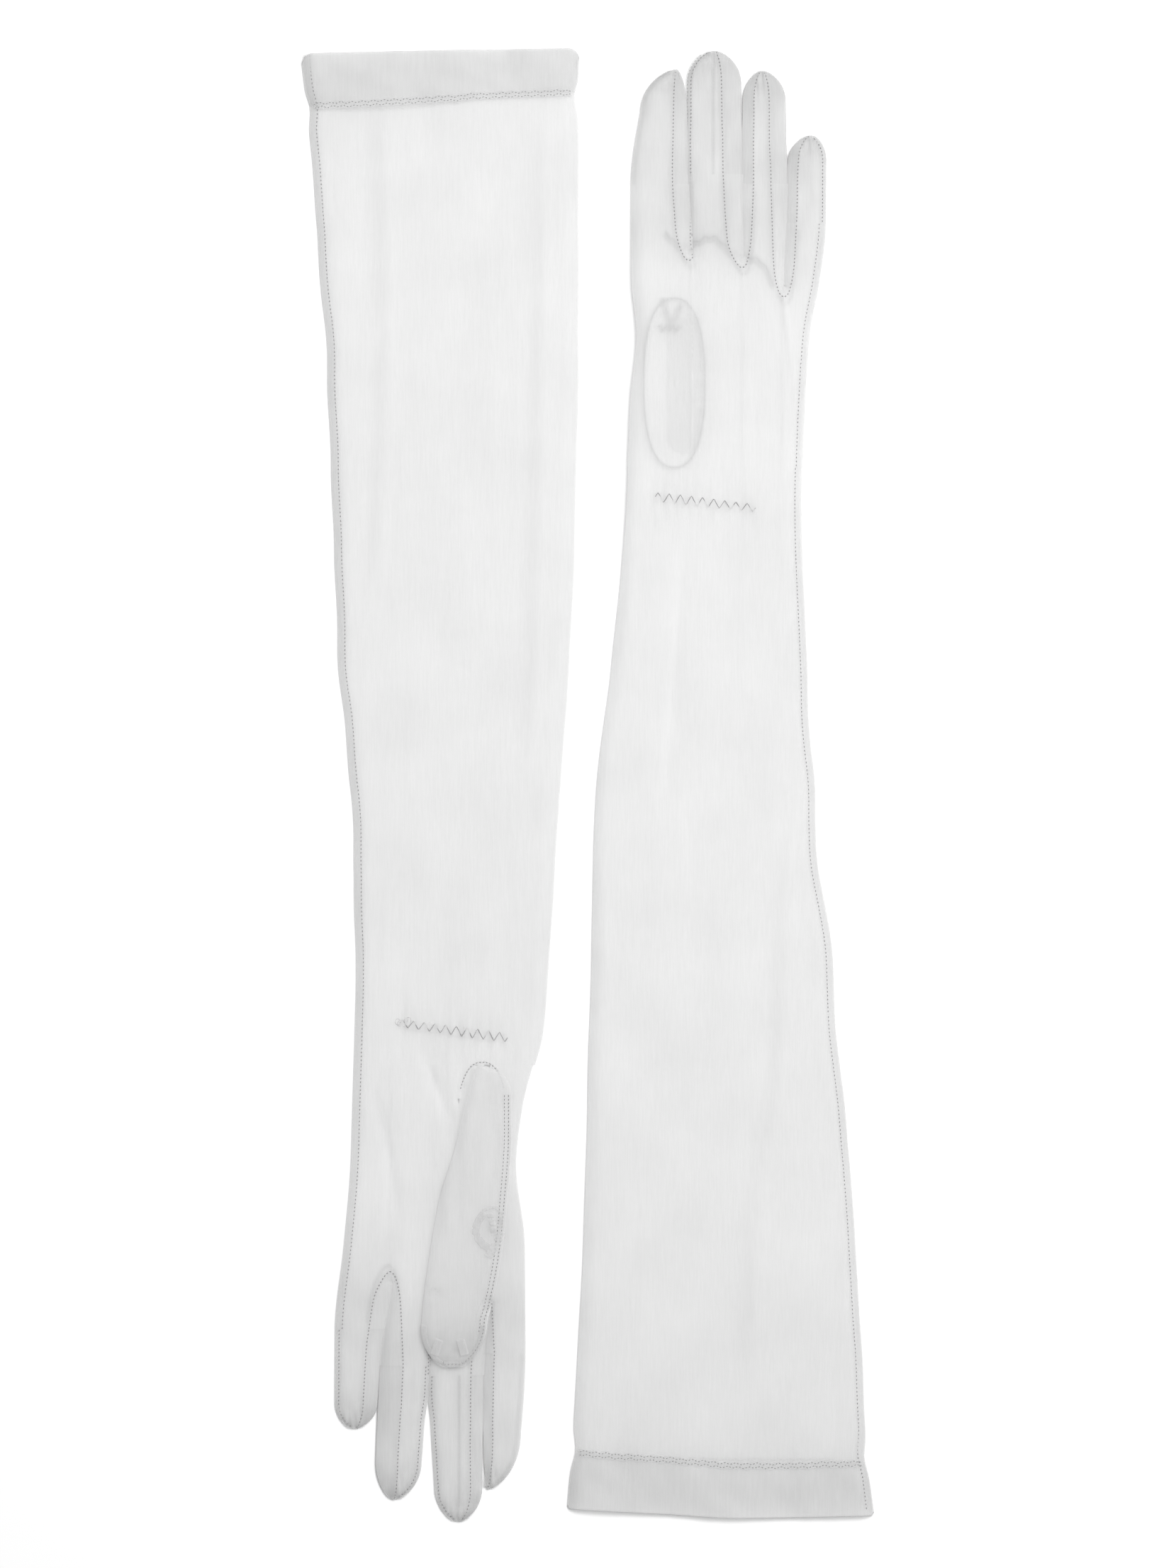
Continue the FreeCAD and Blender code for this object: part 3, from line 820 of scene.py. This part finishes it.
def make_finger(glove, finger):
    """A finger's upper and lower panels, the strip folded between them and its stitched seams."""
    rows = finger.rows(HAND_STEP)
    bend = (finger.crease, finger.crease + FINGER_BEND)
    bodies = ("hand", finger.name)
    faces = ("palm", "back") if glove.palm_up else ("back", "palm")
    gather = 0.35

    upper = []
    lower = []
    for y in rows:
        near_tip = ease(y, finger.side - 8, finger.tip)
        line = []
        for x in edged(finger.seam(y, -1), finger.seam(y, 1), 20):
            x, y, z, tone = glove.layer_point(x, y, 1, finger)
            line.append((x, y, z + gather * near_tip * math.sin(x * 2.6 + y * 0.2), tone))
        upper.append(line)
        xs = edged(finger.low(y), finger.high(y), 18)
        lower.append([glove.layer_point(x, y, -1, finger) for x in xs])

    edges = ((lambda y: finger.seam(y, -1), lambda y: finger.seam(y, 1)), (finger.low, finger.high))
    for face, grid, (low, high) in zip(faces, (upper, lower), edges):
        piece = Piece(glove, f"{finger.name}_{face}")
        piece.grid(grid)
        cloth = piece.done("panel_cloth", bodies, bend, (f"{finger.name}_{face}_panel",))
        declare_strip(low, high, rows)
    make_fourchette(glove, finger, rows, bodies, bend)
    make_finger_seams(glove, finger, bodies, bend)


def declare_strip(low, high, rows):
    """Work out a narrow panel's cut width and area; neither is kept."""
    width = max(NARROWEST, max(high(y) - low(y) for y in rows)) * MM
    sheet_area(low, high, rows)


def make_fourchette(glove, finger, rows, bodies, bend):
    """The strip between a finger's panels, folded flat beside the finger."""
    piece = Piece(glove, f"{finger.name}_fourchette")
    area = 0.0
    for sign in (-1, 1):
        band = finger.band[sign]
        if band < 0.5:
            continue
        grid = []
        for y in rows:
            edge = finger.low(y) if sign < 0 else finger.high(y)
            inner = finger.seam(y, sign)
            line = []
            for part in (0.0, 0.3, 0.55, 0.75, 0.88, 0.96, 1.0):
                line.append(glove.layer_point(inner + (edge - inner) * part, y, 1, finger))
            for part in (0.97, 0.88, 0.7, 0.45, 0.2, -0.04):
                x = inner + (edge - inner) * part
                rise = glove.top(x, y, finger) - glove.bottom(x, y, finger)
                z = glove.bottom(x, y, finger) + 0.3 * rise
                line.append((x, y, z, 1.08 * glove.tone(x, y, finger)))
            grid.append(line)
        piece.grid(grid)
        area += 2 * sum(
            abs(finger.seam(a, sign) - (finger.low(a) if sign < 0 else finger.high(a))) * (b - a)
            for a, b in zip(rows, rows[1:])
        )
    cloth = piece.done("gusset_cloth", bodies, bend, (f"{finger.name}_fourchette",))


def make_finger_seams(glove, finger, bodies, bend):
    """Dotted seams down a finger and round its tip, with their allowances."""
    piece = Piece(glove, f"{finger.name}_seams")
    rows = spread(finger.crease, finger.side, 2.2) + [
        finger.side + (finger.tip - finger.side) * part for part in (0.25, 0.5, 0.7, 0.85, 0.95)
    ]
    for sign in (-1, 1):
        band = finger.band[sign]
        if band < 0.5:
            edge = finger.low if sign < 0 else finger.high
            folded = finger.order == 0 and sign < 0
            line = [(edge(y) - 1.6 * sign, y) for y in rows[:-1]]
            path = [(x, y, glove.top(x, y, finger)) for x, y in line]
            piece.ribbon(path, 1.5 if folded else 2.8, drop=0.9, shade=0.93)
            if not folded:
                piece.stitches(path)
            continue
        path = [(finger.seam(y, sign), y, glove.top(finger.seam(y, sign), y, finger)) for y in rows]
        piece.ribbon(path, 1.7, drop=0.45, shade=0.9)
        piece.stitches(path)
        below = [(x + sign * 1.4, y, glove.bottom(x, y, finger)) for x, y, z in path[:-1]]
        piece.stitches(below, lift=-0.05, radius=0.16)
        piece.ribbon(below, 1.5, drop=-0.3, shade=0.9)
    if finger.name == "middle":
        centre = (finger.low(finger.side) + finger.high(finger.side)) / 2 - 0.4
        line = [(centre, y, glove.bottom(centre, y, finger) + 0.4) for y in rows[:-4]]
        piece.ribbon(line, 1.6, drop=0.0, shade=0.75)
        piece.stitches(line, lift=0.1)
    reach = finger.tip - 1.2 - (finger.side - 4)
    rise = [finger.side - 4 + reach * math.sin(math.pi / 2 * i / 12) for i in range(13)]
    round_tip = [(finger.low(y) + 1.2, y) for y in rise]
    round_tip += [(finger.high(y) - 1.2, y) for y in rise[:-1][::-1]]
    level = glove.lift(finger.tip) + SEAM_LEVEL + 0.4
    piece.ribbon([(x, y, level) for x, y in round_tip], 1.8, drop=0.1, wave=0.2, shade=1.0)
    centre = (finger.high(finger.tip) + finger.low(finger.tip)) / 2
    tuck = [(centre + 0.5 * math.sin(i), finger.tip - 1.6 - i * 1.2, level + 0.3) for i in range(6)]
    piece.ribbon(tuck, 2.2, drop=0.0, wave=0.25, shade=0.92)
    piece.done("seam_cloth", bodies, bend)


def crotch_paths(glove):
    """The seam lines that come down one finger, round the crotch and up the next."""
    paths = []
    for order, (x, y) in enumerate(glove.crotches):
        before, after = glove.fingers[order], glove.fingers[order + 1]
        low_x = before.seam(before.crease, 1)
        high_x = after.seam(after.crease, -1)
        middle = x + 0.35 * ((low_x + high_x) / 2 - x)
        dip = 4.5
        knots = [
            (low_x, before.crease),
            (0.75 * low_x + 0.25 * middle, y + 6),
            (middle - 1.6, y - dip + 1.2),
            (middle, y - dip),
            (middle + 1.6, y - dip + 1.2),
            (0.75 * high_x + 0.25 * middle, y + 6),
            (high_x, after.crease),
        ]
        paths.append(rounded(knots, 60))
    return paths


def make_crotches(glove):
    """The strips between the fingers where they meet the hand, and the seams round them."""
    piece = Piece(glove, "crotch_strips")
    seams = Piece(glove, "crotch_seams")
    for order, path in enumerate(crotch_paths(glove)):
        x0, y0 = glove.crotches[order]
        before, after = glove.fingers[order], glove.fingers[order + 1]
        beside = [before if x < x0 else after for x, y in path]
        grid = []
        for (x, y), finger in zip(path, beside):
            if y <= y0:
                edge_x, edge_y = x0, y0 + 0.4
            else:
                edge_x = before.high(y) if finger is before else after.low(y)
                edge_y = y
            level = glove.lift(y) + SEAM_LEVEL
            start = glove.top(x, y, finger) - 0.35
            line = []
            for part in (0.0, 0.4, 0.8, 1.0):
                at = start + (level + 0.5 - start) * part * part
                across, along = x + (edge_x - x) * part, y + (edge_y - y) * part
                line.append((across, along, at, glove.tone(x, y, finger)))
            grid.append(line)
        piece.grid(grid)
        flat = [(x, y, glove.top(x, y, finger)) for (x, y), finger in zip(path, beside)]
        seams.ribbon(flat, 1.8, drop=0.4, shade=0.88)
        seams.stitches(flat)
        bottoms = [glove.bottom(x, y, finger) for (x, y), finger in zip(path, beside)]
        under = [(x + 0.8, y - 2.5, z) for (x, y), z in zip(path, bottoms)]
        seams.ribbon(under, 1.7, drop=-0.3, shade=0.86)
        seams.stitches(under, lift=-0.05, radius=0.18)
    strips = piece.done("gusset_cloth", ("hand",), nodes=("fourchette_crotches",))
    if not glove.palm_up:
        palm_allowances(glove, seams)
    seams.done("seam_cloth", ("hand",))


def palm_allowances(glove, seams):
    """The ragged allowances along the palm side of the finger roots, seen through the back."""
    knots = ((-19.4, 111), (-12.8, 105.3), (0, 109), (7.8, 103), (15.7, 100.5), (20, 98.6), (25, 89))
    wavy = smooth_curve(knots)
    line = []
    for x in spread(-19.4, 25, 0.7):
        y = wavy(x) - 1.6 + 0.6 * math.sin(x * 1.5)
        finger = glove.finger_at(x, y)
        level = glove.top(x, y, finger) - glove.bottom(x, y, finger)
        line.append((x, y, glove.bottom(x, y, finger) + 0.55 * level))
    for off, width, shade in ((0.0, 2.4, 0.55), (0.9, 0.7, 0.4), (1.9, 1.4, 0.8)):
        seams.ribbon([(x, y + off, z) for x, y, z in line], width, drop=0.0, shade=shade)


def make_elastic(glove):
    """The gathered elastic inside the wrist and the zigzag thread that holds it."""
    start_x, start_y, end_x, end_y, cycles = glove.elastic
    piece = Piece(glove, "wrist_elastic")
    height, sign = (glove.top, 1) if glove.palm_up else (glove.bottom, -1)
    grid = []
    for x in spread(start_x, end_x, 0.8):
        middle = start_y + (end_y - start_y) * (x - start_x) / (end_x - start_x)
        z = height(x, middle) - sign * 0.35
        ripple = 0.12 * math.sin(x * 3.1)
        grid.append([(x, middle + off, z + ripple * (off / 2), 1.0) for off in (-2.0, 0.0, 2.0)])
    piece.grid(grid)
    bodies, bend = ("forearm", "hand"), (WRIST_Y, WRIST_END_Y)
    piece.done("elastic", bodies, bend, ("wrist_elastic",))

    thread = Piece(glove, "zigzag")
    path = []
    for i in range(cycles * 12 + 1):
        share = i / (cycles * 12)
        x = start_x + (end_x - start_x) * share
        corner = 2 / math.pi * math.asin(math.sin(2 * math.pi * cycles * share) * 0.985)
        y = start_y + (end_y - start_y) * share + (1.9 + 0.25 * math.sin(5 * share)) * corner
        z = max(glove.top(x, y), glove.top(x, y + 0.4)) + 0.16
        path.append((x, y, z))
    thread.thread(path, radius=0.14, shade=1.5)
    if glove.palm_up:
        bunch = []
        for i in range(75):
            turn = 0.42 * i
            x = end_x - 3.5 + i * 0.064 + 1.5 * math.cos(turn)
            y = end_y - 0.4 + (1.6 + 0.5 * math.sin(i / 11)) * math.sin(turn * 1.13)
            bunch.append((x, y, glove.top(x, y) + 0.15))
        thread.thread(bunch, radius=0.1, slot=0)
    thread.done("seam_cloth", bodies, bend)


def thumb_edges():
    """The left thumb's two edges, laid over the palm."""
    knots = ((24.9, -26.4), (41.2, -26.4), (72.2, -24.4), (91.6, -22.3), (113.4, -17.9), (124, -14.4))
    low = smooth_curve(knots)
    wrist_end = ((14.6, -12.2), (18, -10.7), (50.5, -2.3), (69.3, 3.5))
    high = smooth_curve(wrist_end + ((83.5, 6.1), (90.2, 7.2), (117.2, 10.6), (124, 11)))

    def low_edge(y):
        if y < 26:
            return -12.6 - 13.8 * math.sqrt(max(0.0, 1 - ((26 - y) / 11.6) ** 2))
        return low(y)

    closed_low = shape_tip(low_edge, -1.7, 118, 138, 0.55)
    closed_high = shape_tip(high, -1.7, 122, 138, 0.6)
    return closed_low, closed_high


def thumb_height(glove, low, high, x, y, upper):
    """Heights of the folded-over thumb's two layers above the palm."""
    gap = max(0.0, min(x - low(y), high(y) - x, (138.2 - y) * 1.1))
    near = min(gap / 5.0, 1.0)
    swell = near * (2 - near)
    base = glove.top(min(max(x, -26.0), 20.0), min(y, 120.0)) + 0.12
    ripple = 0.5 * waver(x / 8, y / 30, 51.0) + 0.2 * waver(x / 3, y / 14, 57.0)
    bunch = hump(x + 18.5, 5.5) * hump(y - 80, 6.5)
    ripple += 0.5 * bunch * math.sin(1.5 * math.hypot(x + 18.5, y - 80))
    ripple -= 0.5 * hump(x + 20.5 - 0.1 * (y - 40), 1.5) * between(y, 38, 44, 58, 66)
    if upper:
        return base + (1.5 + ripple) * swell + 0.1
    return base + 0.15 * swell - 0.04


def make_left_thumb(glove):
    """The thumb's hood, sewn round its hole in the palm, and its stall, both laid over the palm."""
    low, high = thumb_edges()
    tip_rows = [124 + 14 * math.sin(math.pi / 2 * i / 10) for i in range(1, 10)] + [137.95]
    base_rows = [14.45, 14.8, 15.4, 16.3, 17.5, 19, 21, 23.4, 26] + spread(28, 78, HAND_STEP)
    stall_rows = spread(78, 124, HAND_STEP) + tip_rows
    for name, rows, bend in (("thumb_base", base_rows, None), ("thumb_stall", stall_rows, THUMB_BEND)):
        piece = Piece(glove, name)
        grid = []
        for y in rows:
            tip_stain_and_shade = ease(y, 112, 136)
            upper = []
            lower = []
            for x in edged(low(y), high(y), 26):
                bunch = hump(x + 18.5, 4.5) * hump(y - 80, 5.5)
                # Darker towards the thumb's tip: a stain, and painted shade for the gathers there.
                shade = 0.975 - 0.2 * tip_stain_and_shade * (0.8 + 0.5 * waver(x / 4, y / 4, 5.0))
                # Darker over the crumpled bunch: partly painted shade of its hollows, partly the extra
                # cloth gathered there.
                shade -= 0.08 * bunch
                upper.append((x, y, thumb_height(glove, low, high, x, y, True), shade))
                lower.append((x, y, thumb_height(glove, low, high, x, y, False), shade))
            upper[-1] = lower[-1]
            grid.append(upper + list(reversed(lower))[1:])
        piece.grid(grid)
        cloth = piece.done("panel_cloth", ("hand", "thumb"), bend, (name,))
        width = 2 * max(high(y) - low(y) for y in rows) * MM
        area = 2 * sheet_area(low, high, rows)
    make_thumb_gusset(glove)
    make_thumb_seams(glove, low, high)


def make_thumb_gusset(glove):
    """The sliver of cloth inside the thumb hole's finger end."""
    gusset = Piece(glove, "thumb_gusset")
    grid = []
    for i in range(17):
        x, y = oval_point(glove.oval, math.pi / 2 - math.pi * 0.78 * i / 16 - 0.75, 1.02)
        line = []
        for n, part in enumerate((0, 0.3, 0.65)):
            at_x = x + (glove.oval[0] + 3 - x) * part
            at_y = y + (glove.oval[1] - y) * 0.2 * part
            line.append((at_x, at_y, glove.top(at_x, at_y) + 0.15 + 0.3 * n, 0.98))
        grid.append(line)
    gusset.grid(grid)
    strip = gusset.done("gusset_cloth", ("hand",))


def make_thumb_seams(glove, low, high):
    """The left thumb's dotted seams, along its edge, round its hole and round its tip."""
    parts = (("thumb_hood_seams", 26, 78, None), ("thumb_stall_seams", 78, 124, THUMB_BEND))
    for name, first, last, bend in parts:
        seams = Piece(glove, name)
        for inset, radius in ((1.3, 0.2), (3.0, 0.17)):
            line = [(low(y) + inset, y) for y in spread(first, last, 2.0)]
            path = [(x, y, thumb_height(glove, low, high, x, y, True)) for x, y in line]
            seams.stitches(path, radius=radius)
            seams.ribbon(path, 1.6, drop=0.45, shade=0.9)
        if bend is None:
            oval_seam(glove, seams)
            thumb_bunch(glove, seams, low, high)
        else:
            thumb_tip(glove, seams, low, high)
        seams.done("seam_cloth", ("hand", "thumb"), bend)


def thumb_tip(glove, seams, low, high):
    """The allowances gathered round the left thumb's tip."""
    rim = []
    for i in range(33):
        y = 120 + 16.4 * math.sin(math.pi * i / 32)
        rim.append((low(y) + 1.3 if i < 16 else high(y) - 1.3, y, 5.2))
    seams.ribbon(rim, 2.2, drop=0.0, wave=0.2, shade=0.9)
    seams.stitches([(x, y, thumb_height(glove, low, high, x, y, True)) for x, y, z in rim[:17]])
    for centre, lean in ((-7.2, 0.35), (5.2, -0.4)):
        flap = [(centre + lean * i, 132.4 - 1.3 * i, 5.7) for i in range(6)]
        seams.ribbon(flap, 3.4, drop=0.0, wave=0.3, shade=1.0)


def oval_seam(glove, seams):
    """The seam round the thumb hole. On the left glove only its wrist end shows beside the thumb."""
    turns = [2 * math.pi * i / 96 for i in range(97)]
    if glove.palm_up:
        line = [oval_point(glove.oval, turn, 1.05) for turn in turns]
        path = [(x, y, glove.top(x, y) + 0.15) for x, y in line if y <= 24]
        seams.ribbon(path, 1.2, drop=0.1, shade=1.0)
        seams.stitches(path, pitch=1.4, radius=0.2, lift=0.12)
        return
    path = []
    for x, y in [oval_point(glove.oval, turn) for turn in turns]:
        path.append((x, y, 0.4 * glove.bottom(x, y) + 0.6 * glove.top(x, y)))
    seams.ribbon(path, 0.8, drop=0.0, shade=0.3)
    seams.ribbon(path, 2.0, drop=-0.1, shade=0.8)
    seams.stitches(path, pitch=1.4, radius=0.27, lift=-0.12)
    line = [oval_point(glove.oval, turn, 0.88) for turn in turns]
    path = [(x, y, glove.bottom(x, y) - 0.1) for x, y in line]
    seams.stitches(path, pitch=2.0, radius=0.15, lift=-0.05)


def thumb_bunch(glove, seams, low, high):
    """The crumpled end of the thumb's seam, where three pieces of cloth meet."""
    ends = ((-13.5, 77.8), (-14.7, 73.6), (-19.0, 72.1), (-22.3, 75.3), (-21.8, 81), (-19.7, 85.4))
    rim = rounded(ends)
    fold = rounded(((-15.0, 74.5), (-12.2, 79), (-11.6, 82.4), (-14, 86.6), (-17.2, 89)))
    inside = rounded(((-17.3, 74.6), (-18.6, 79), (-19.2, 83.5)))
    for line, width, shade in ((rim, 1.4, 1.05), (fold, 3.2, 1.0), (inside, 2.2, 1.25)):
        path = [(x, y, thumb_height(glove, low, high, x, y, True) + 0.25) for x, y in line]
        seams.ribbon(path, width, drop=0.0, wave=0.2, shade=shade)
    flap = rounded(((-22.0, 82), (-19.5, 88), (-16.5, 92.5)))
    path = [(x, y, thumb_height(glove, low, high, x, y, True) + 0.25) for x, y in flap]
    seams.ribbon(path, 3.4, drop=0.0, wave=0.25, shade=1.25)


def make_right_thumb(glove):
    """The thumb's flat oval in the palm and its stall, folded back beneath."""
    piece = Piece(glove, "thumb_oval")
    grid = []
    for part in (0.04, 0.2, 0.4, 0.6, 0.8, 0.93, 1.0):
        ring = [oval_point(glove.oval, 2 * math.pi * i / 48, part) for i in range(49)]
        grid.append([(x, y, glove.bottom(x, y) - 0.08, 1.0) for x, y in ring])
    piece.grid(grid)
    insert = piece.done("panel_cloth", ("hand",), nodes=("thumb_base",))
    make_folded_stall(glove)
    make_oval_seams(glove)


def make_folded_stall(glove):
    """The right thumb's stall, flat under the palm and pointing to the wrist, with its seams."""
    middle = -11.6

    def low(y):
        return middle - 7.0 * math.sqrt(max(0.0, 1 - max(0.0, (26.2 - y) / 6.2) ** 2))

    def high(y):
        return 2 * middle - low(y)

    stall = Piece(glove, "thumb_stall")
    rows = [20.04, 20.3, 20.9, 21.8, 23, 24.5, 26.2] + spread(28, 75.6, 2.4)
    grid = []
    for y in rows:
        upper = []
        lower = []
        for x in edged(low(y), high(y), 16):
            gap = max(0.0, min(x - low(y), high(y) - x))
            swell = math.sqrt(1 - (1 - min(gap / 2.0, 1.0)) ** 2)
            ripple = 0.3 * waver(x / 5, y / 16, 71.0)
            shade = 1 - 0.12 * (1 - ease(y, 20, 40))
            upper.append((x, y, 1.3 + (0.8 + ripple) * swell, shade))
            lower.append((x, y, 1.1 - 0.9 * swell, shade))
        lower[0] = upper[0]
        grid.append(list(reversed(upper)) + lower[1:])
    stall.grid(grid)
    cloth = stall.done("panel_cloth", ("thumb",), nodes=("thumb_stall",))
    2 * sheet_area(low, high, rows)

    seams = Piece(glove, "thumb_stall_seams")
    sewn_rows = spread(26.2, 75, 2.0)
    path = [(high(y) - 1.2, y, 1.5) for y in sewn_rows]
    seams.ribbon(path, 2.0, drop=0.1, shade=0.85)
    seams.stitches(path, radius=0.16, lift=0.0)
    seams.ribbon([(low(y) + 0.9, y, 1.4) for y in sewn_rows], 1.5, drop=0.1, shade=0.85)
    seams.done("seam_cloth", ("thumb",))


def make_oval_seams(glove):
    """The right glove's seam round the thumb hole, and the bunch at its finger end."""
    ring = Piece(glove, "thumb_oval_seams")
    oval_seam(glove, ring)
    bunch = [(-21.2, 83.2), (-19.6, 78), (-17.6, 71.6), (-15.4, 76), (-13.6, 80.5)]
    for shift in (0.0, 1.1):
        path = [(x + shift, y, glove.top(x, y) - 0.4) for x, y in bunch]
        ring.ribbon(path, 2.0, wave=0.3, shade=0.55)
    level = glove.top(-18, 71) - 0.5
    gather = [(-22.3 + 0.9 * i, 70.8 + 1.3 * math.sin(2.1 * i), level) for i in range(11)]
    ring.ribbon(gather, 2.4, wave=0.5, shade=0.5)
    ring.stitches([(x, y, z) for x, y, z, along in walk(gather, 0.6)], pitch=1.1)
    ring.done("seam_cloth", ("hand",))


def make_hand_seam(glove):
    """The long seam's last stretch, along the hand's outer edge to the little finger's crease."""
    piece = Piece(glove, "hand_seam")
    little = glove.fingers[3]
    rows = spread(WRIST_END_Y, little.crease, 2.4)
    piece.grid([allowance_row(glove, little.high(y), y) for y in rows])
    line = [(little.high(y) - 2.9, y) for y in rows]
    path = [(x, y, glove.top(x, y, little)) for x, y in line]
    piece.stitches(path, pitch=1.6, lift=0.26, radius=0.21)
    piece.done("seam_cloth", ("hand",), nodes=("hand_side_seam",))


def make_glove(glove):
    """All of one glove's pieces."""
    make_hem(glove)
    make_hem_stitching(glove)
    stretches = (
        ("upper", "forearm", glove.hem_y, glove.cuff_y + 2, (ELBOW_Y, ELBOW_END_Y)),
        ("forearm", "hand", ELBOW_END_Y, ELBOW_END_Y, (WRIST_Y, WRIST_END_Y)),
    )
    for part, beyond, first, seam_first, bend in stretches:
        bodies = (part, beyond)
        panels = [f"{part}_{panel}" for panel in ("palm_panel", "back_panel", "fold_edge")]
        make_sleeve(glove, f"{part}_sleeve", first, bend[1], bodies, bend, panels)
        make_side_seam(glove, f"{part}_seam", seam_first, bend[1], bodies, bend, f"{part}_side_seam")
    make_hand(glove)
    make_hand_seam(glove)
    make_crotches(glove)
    for finger in glove.fingers:
        make_finger(glove, finger)
    make_elastic(glove)
    if glove.palm_up:
        make_left_thumb(glove)
    else:
        make_right_thumb(glove)


def make_stage():
    """A plain white floor, soft light and a camera straight above."""
    bpy.ops.mesh.primitive_plane_add(size=7.0, location=(0, 0, -0.0004))
    floor = bpy.context.object
    floor.name = "studio_floor"
    paper = bpy.data.materials.new("studio_paper")
    paper.use_nodes = True
    shader = paper.node_tree.nodes["Principled BSDF"]
    shader.inputs["Base Color"].default_value = (0.9, 0.9, 0.9, 1.0)
    shader.inputs["Roughness"].default_value = 0.9
    shader.inputs["Specular IOR Level"].default_value = 0.0
    floor.data.materials.append(paper)

    world = bpy.data.worlds.new("studio_world")
    scene = bpy.context.scene
    scene.world = world
    world.use_nodes = True
    world.node_tree.nodes["Background"].inputs["Color"].default_value = (1.0, 1.0, 1.0, 1.0)
    world.node_tree.nodes["Background"].inputs["Strength"].default_value = WORLD_LIGHT

    lamp_data = bpy.data.lights.new("softbox", "AREA")
    lamp_data.shape = "RECTANGLE"
    lamp_data.size = 0.9
    lamp_data.size_y = 0.7
    lamp_data.energy = LAMP_POWER
    lamp = bpy.data.objects.new("softbox", lamp_data)
    lamp.location = (0.4, 0.42, 1.5)
    aim = Vector((0.0, 0.05, 0.0)) - lamp.location
    lamp.rotation_euler = aim.to_track_quat("-Z", "Y").to_euler()
    scene.collection.objects.link(lamp)

    camera_data = bpy.data.cameras.new("camera")
    camera_data.sensor_width = 36.0
    camera_data.lens = 36.0 * CAMERA_HEIGHT / VIEW_LENGTH
    camera_data.clip_end = 20.0
    camera = bpy.data.objects.new("camera", camera_data)
    camera.location = (0.0, VIEW_CENTRE_Y, CAMERA_HEIGHT)
    scene.collection.objects.link(camera)
    scene.camera = camera
    scene.view_settings.view_transform = "Standard"
    scene.cycles.transparent_max_bounces = 32
    scene.cycles.diffuse_bounces = 6


WORLD_LIGHT = 0.5
LAMP_POWER = 24.6
CAMERA_HEIGHT = 2.6
VIEW_LENGTH = 0.6415
VIEW_CENTRE_Y = 0.0007

PANEL = cloth_material("panel_knit", 0.81, 0.52, 0.045, 0.7, 0.35)
HEM = cloth_material("hem_knit", 0.75, 0.52, 0.05, 0.7, 0.35)
GUSSET = cloth_material("gusset_knit", 0.79, 0.52, 0.06, 0.7, 0.35)
SEAM = cloth_material("seam_knit", 0.68, 0.36, 0.08, 0.75, 0.5)
THREAD = cloth_material("sewing_thread", 0.34, 0.9, 0.12, 0.6, 0.6)
ELASTIC = cloth_material("elastic_band", 0.78, 0.45, 0.1, 0.65, 0.6)
CLOTH_KINDS = {
    "panel_cloth": ([PANEL], 0.02),
    "hem_cloth": ([HEM], 0.02),
    "gusset_cloth": ([GUSSET], 0.005),
    "seam_cloth": ([SEAM, THREAD], 0.001),
    "elastic": ([ELASTIC], 0.02),
}

make_stage()
make_glove(Glove(LEFT))
make_glove(Glove(RIGHT))
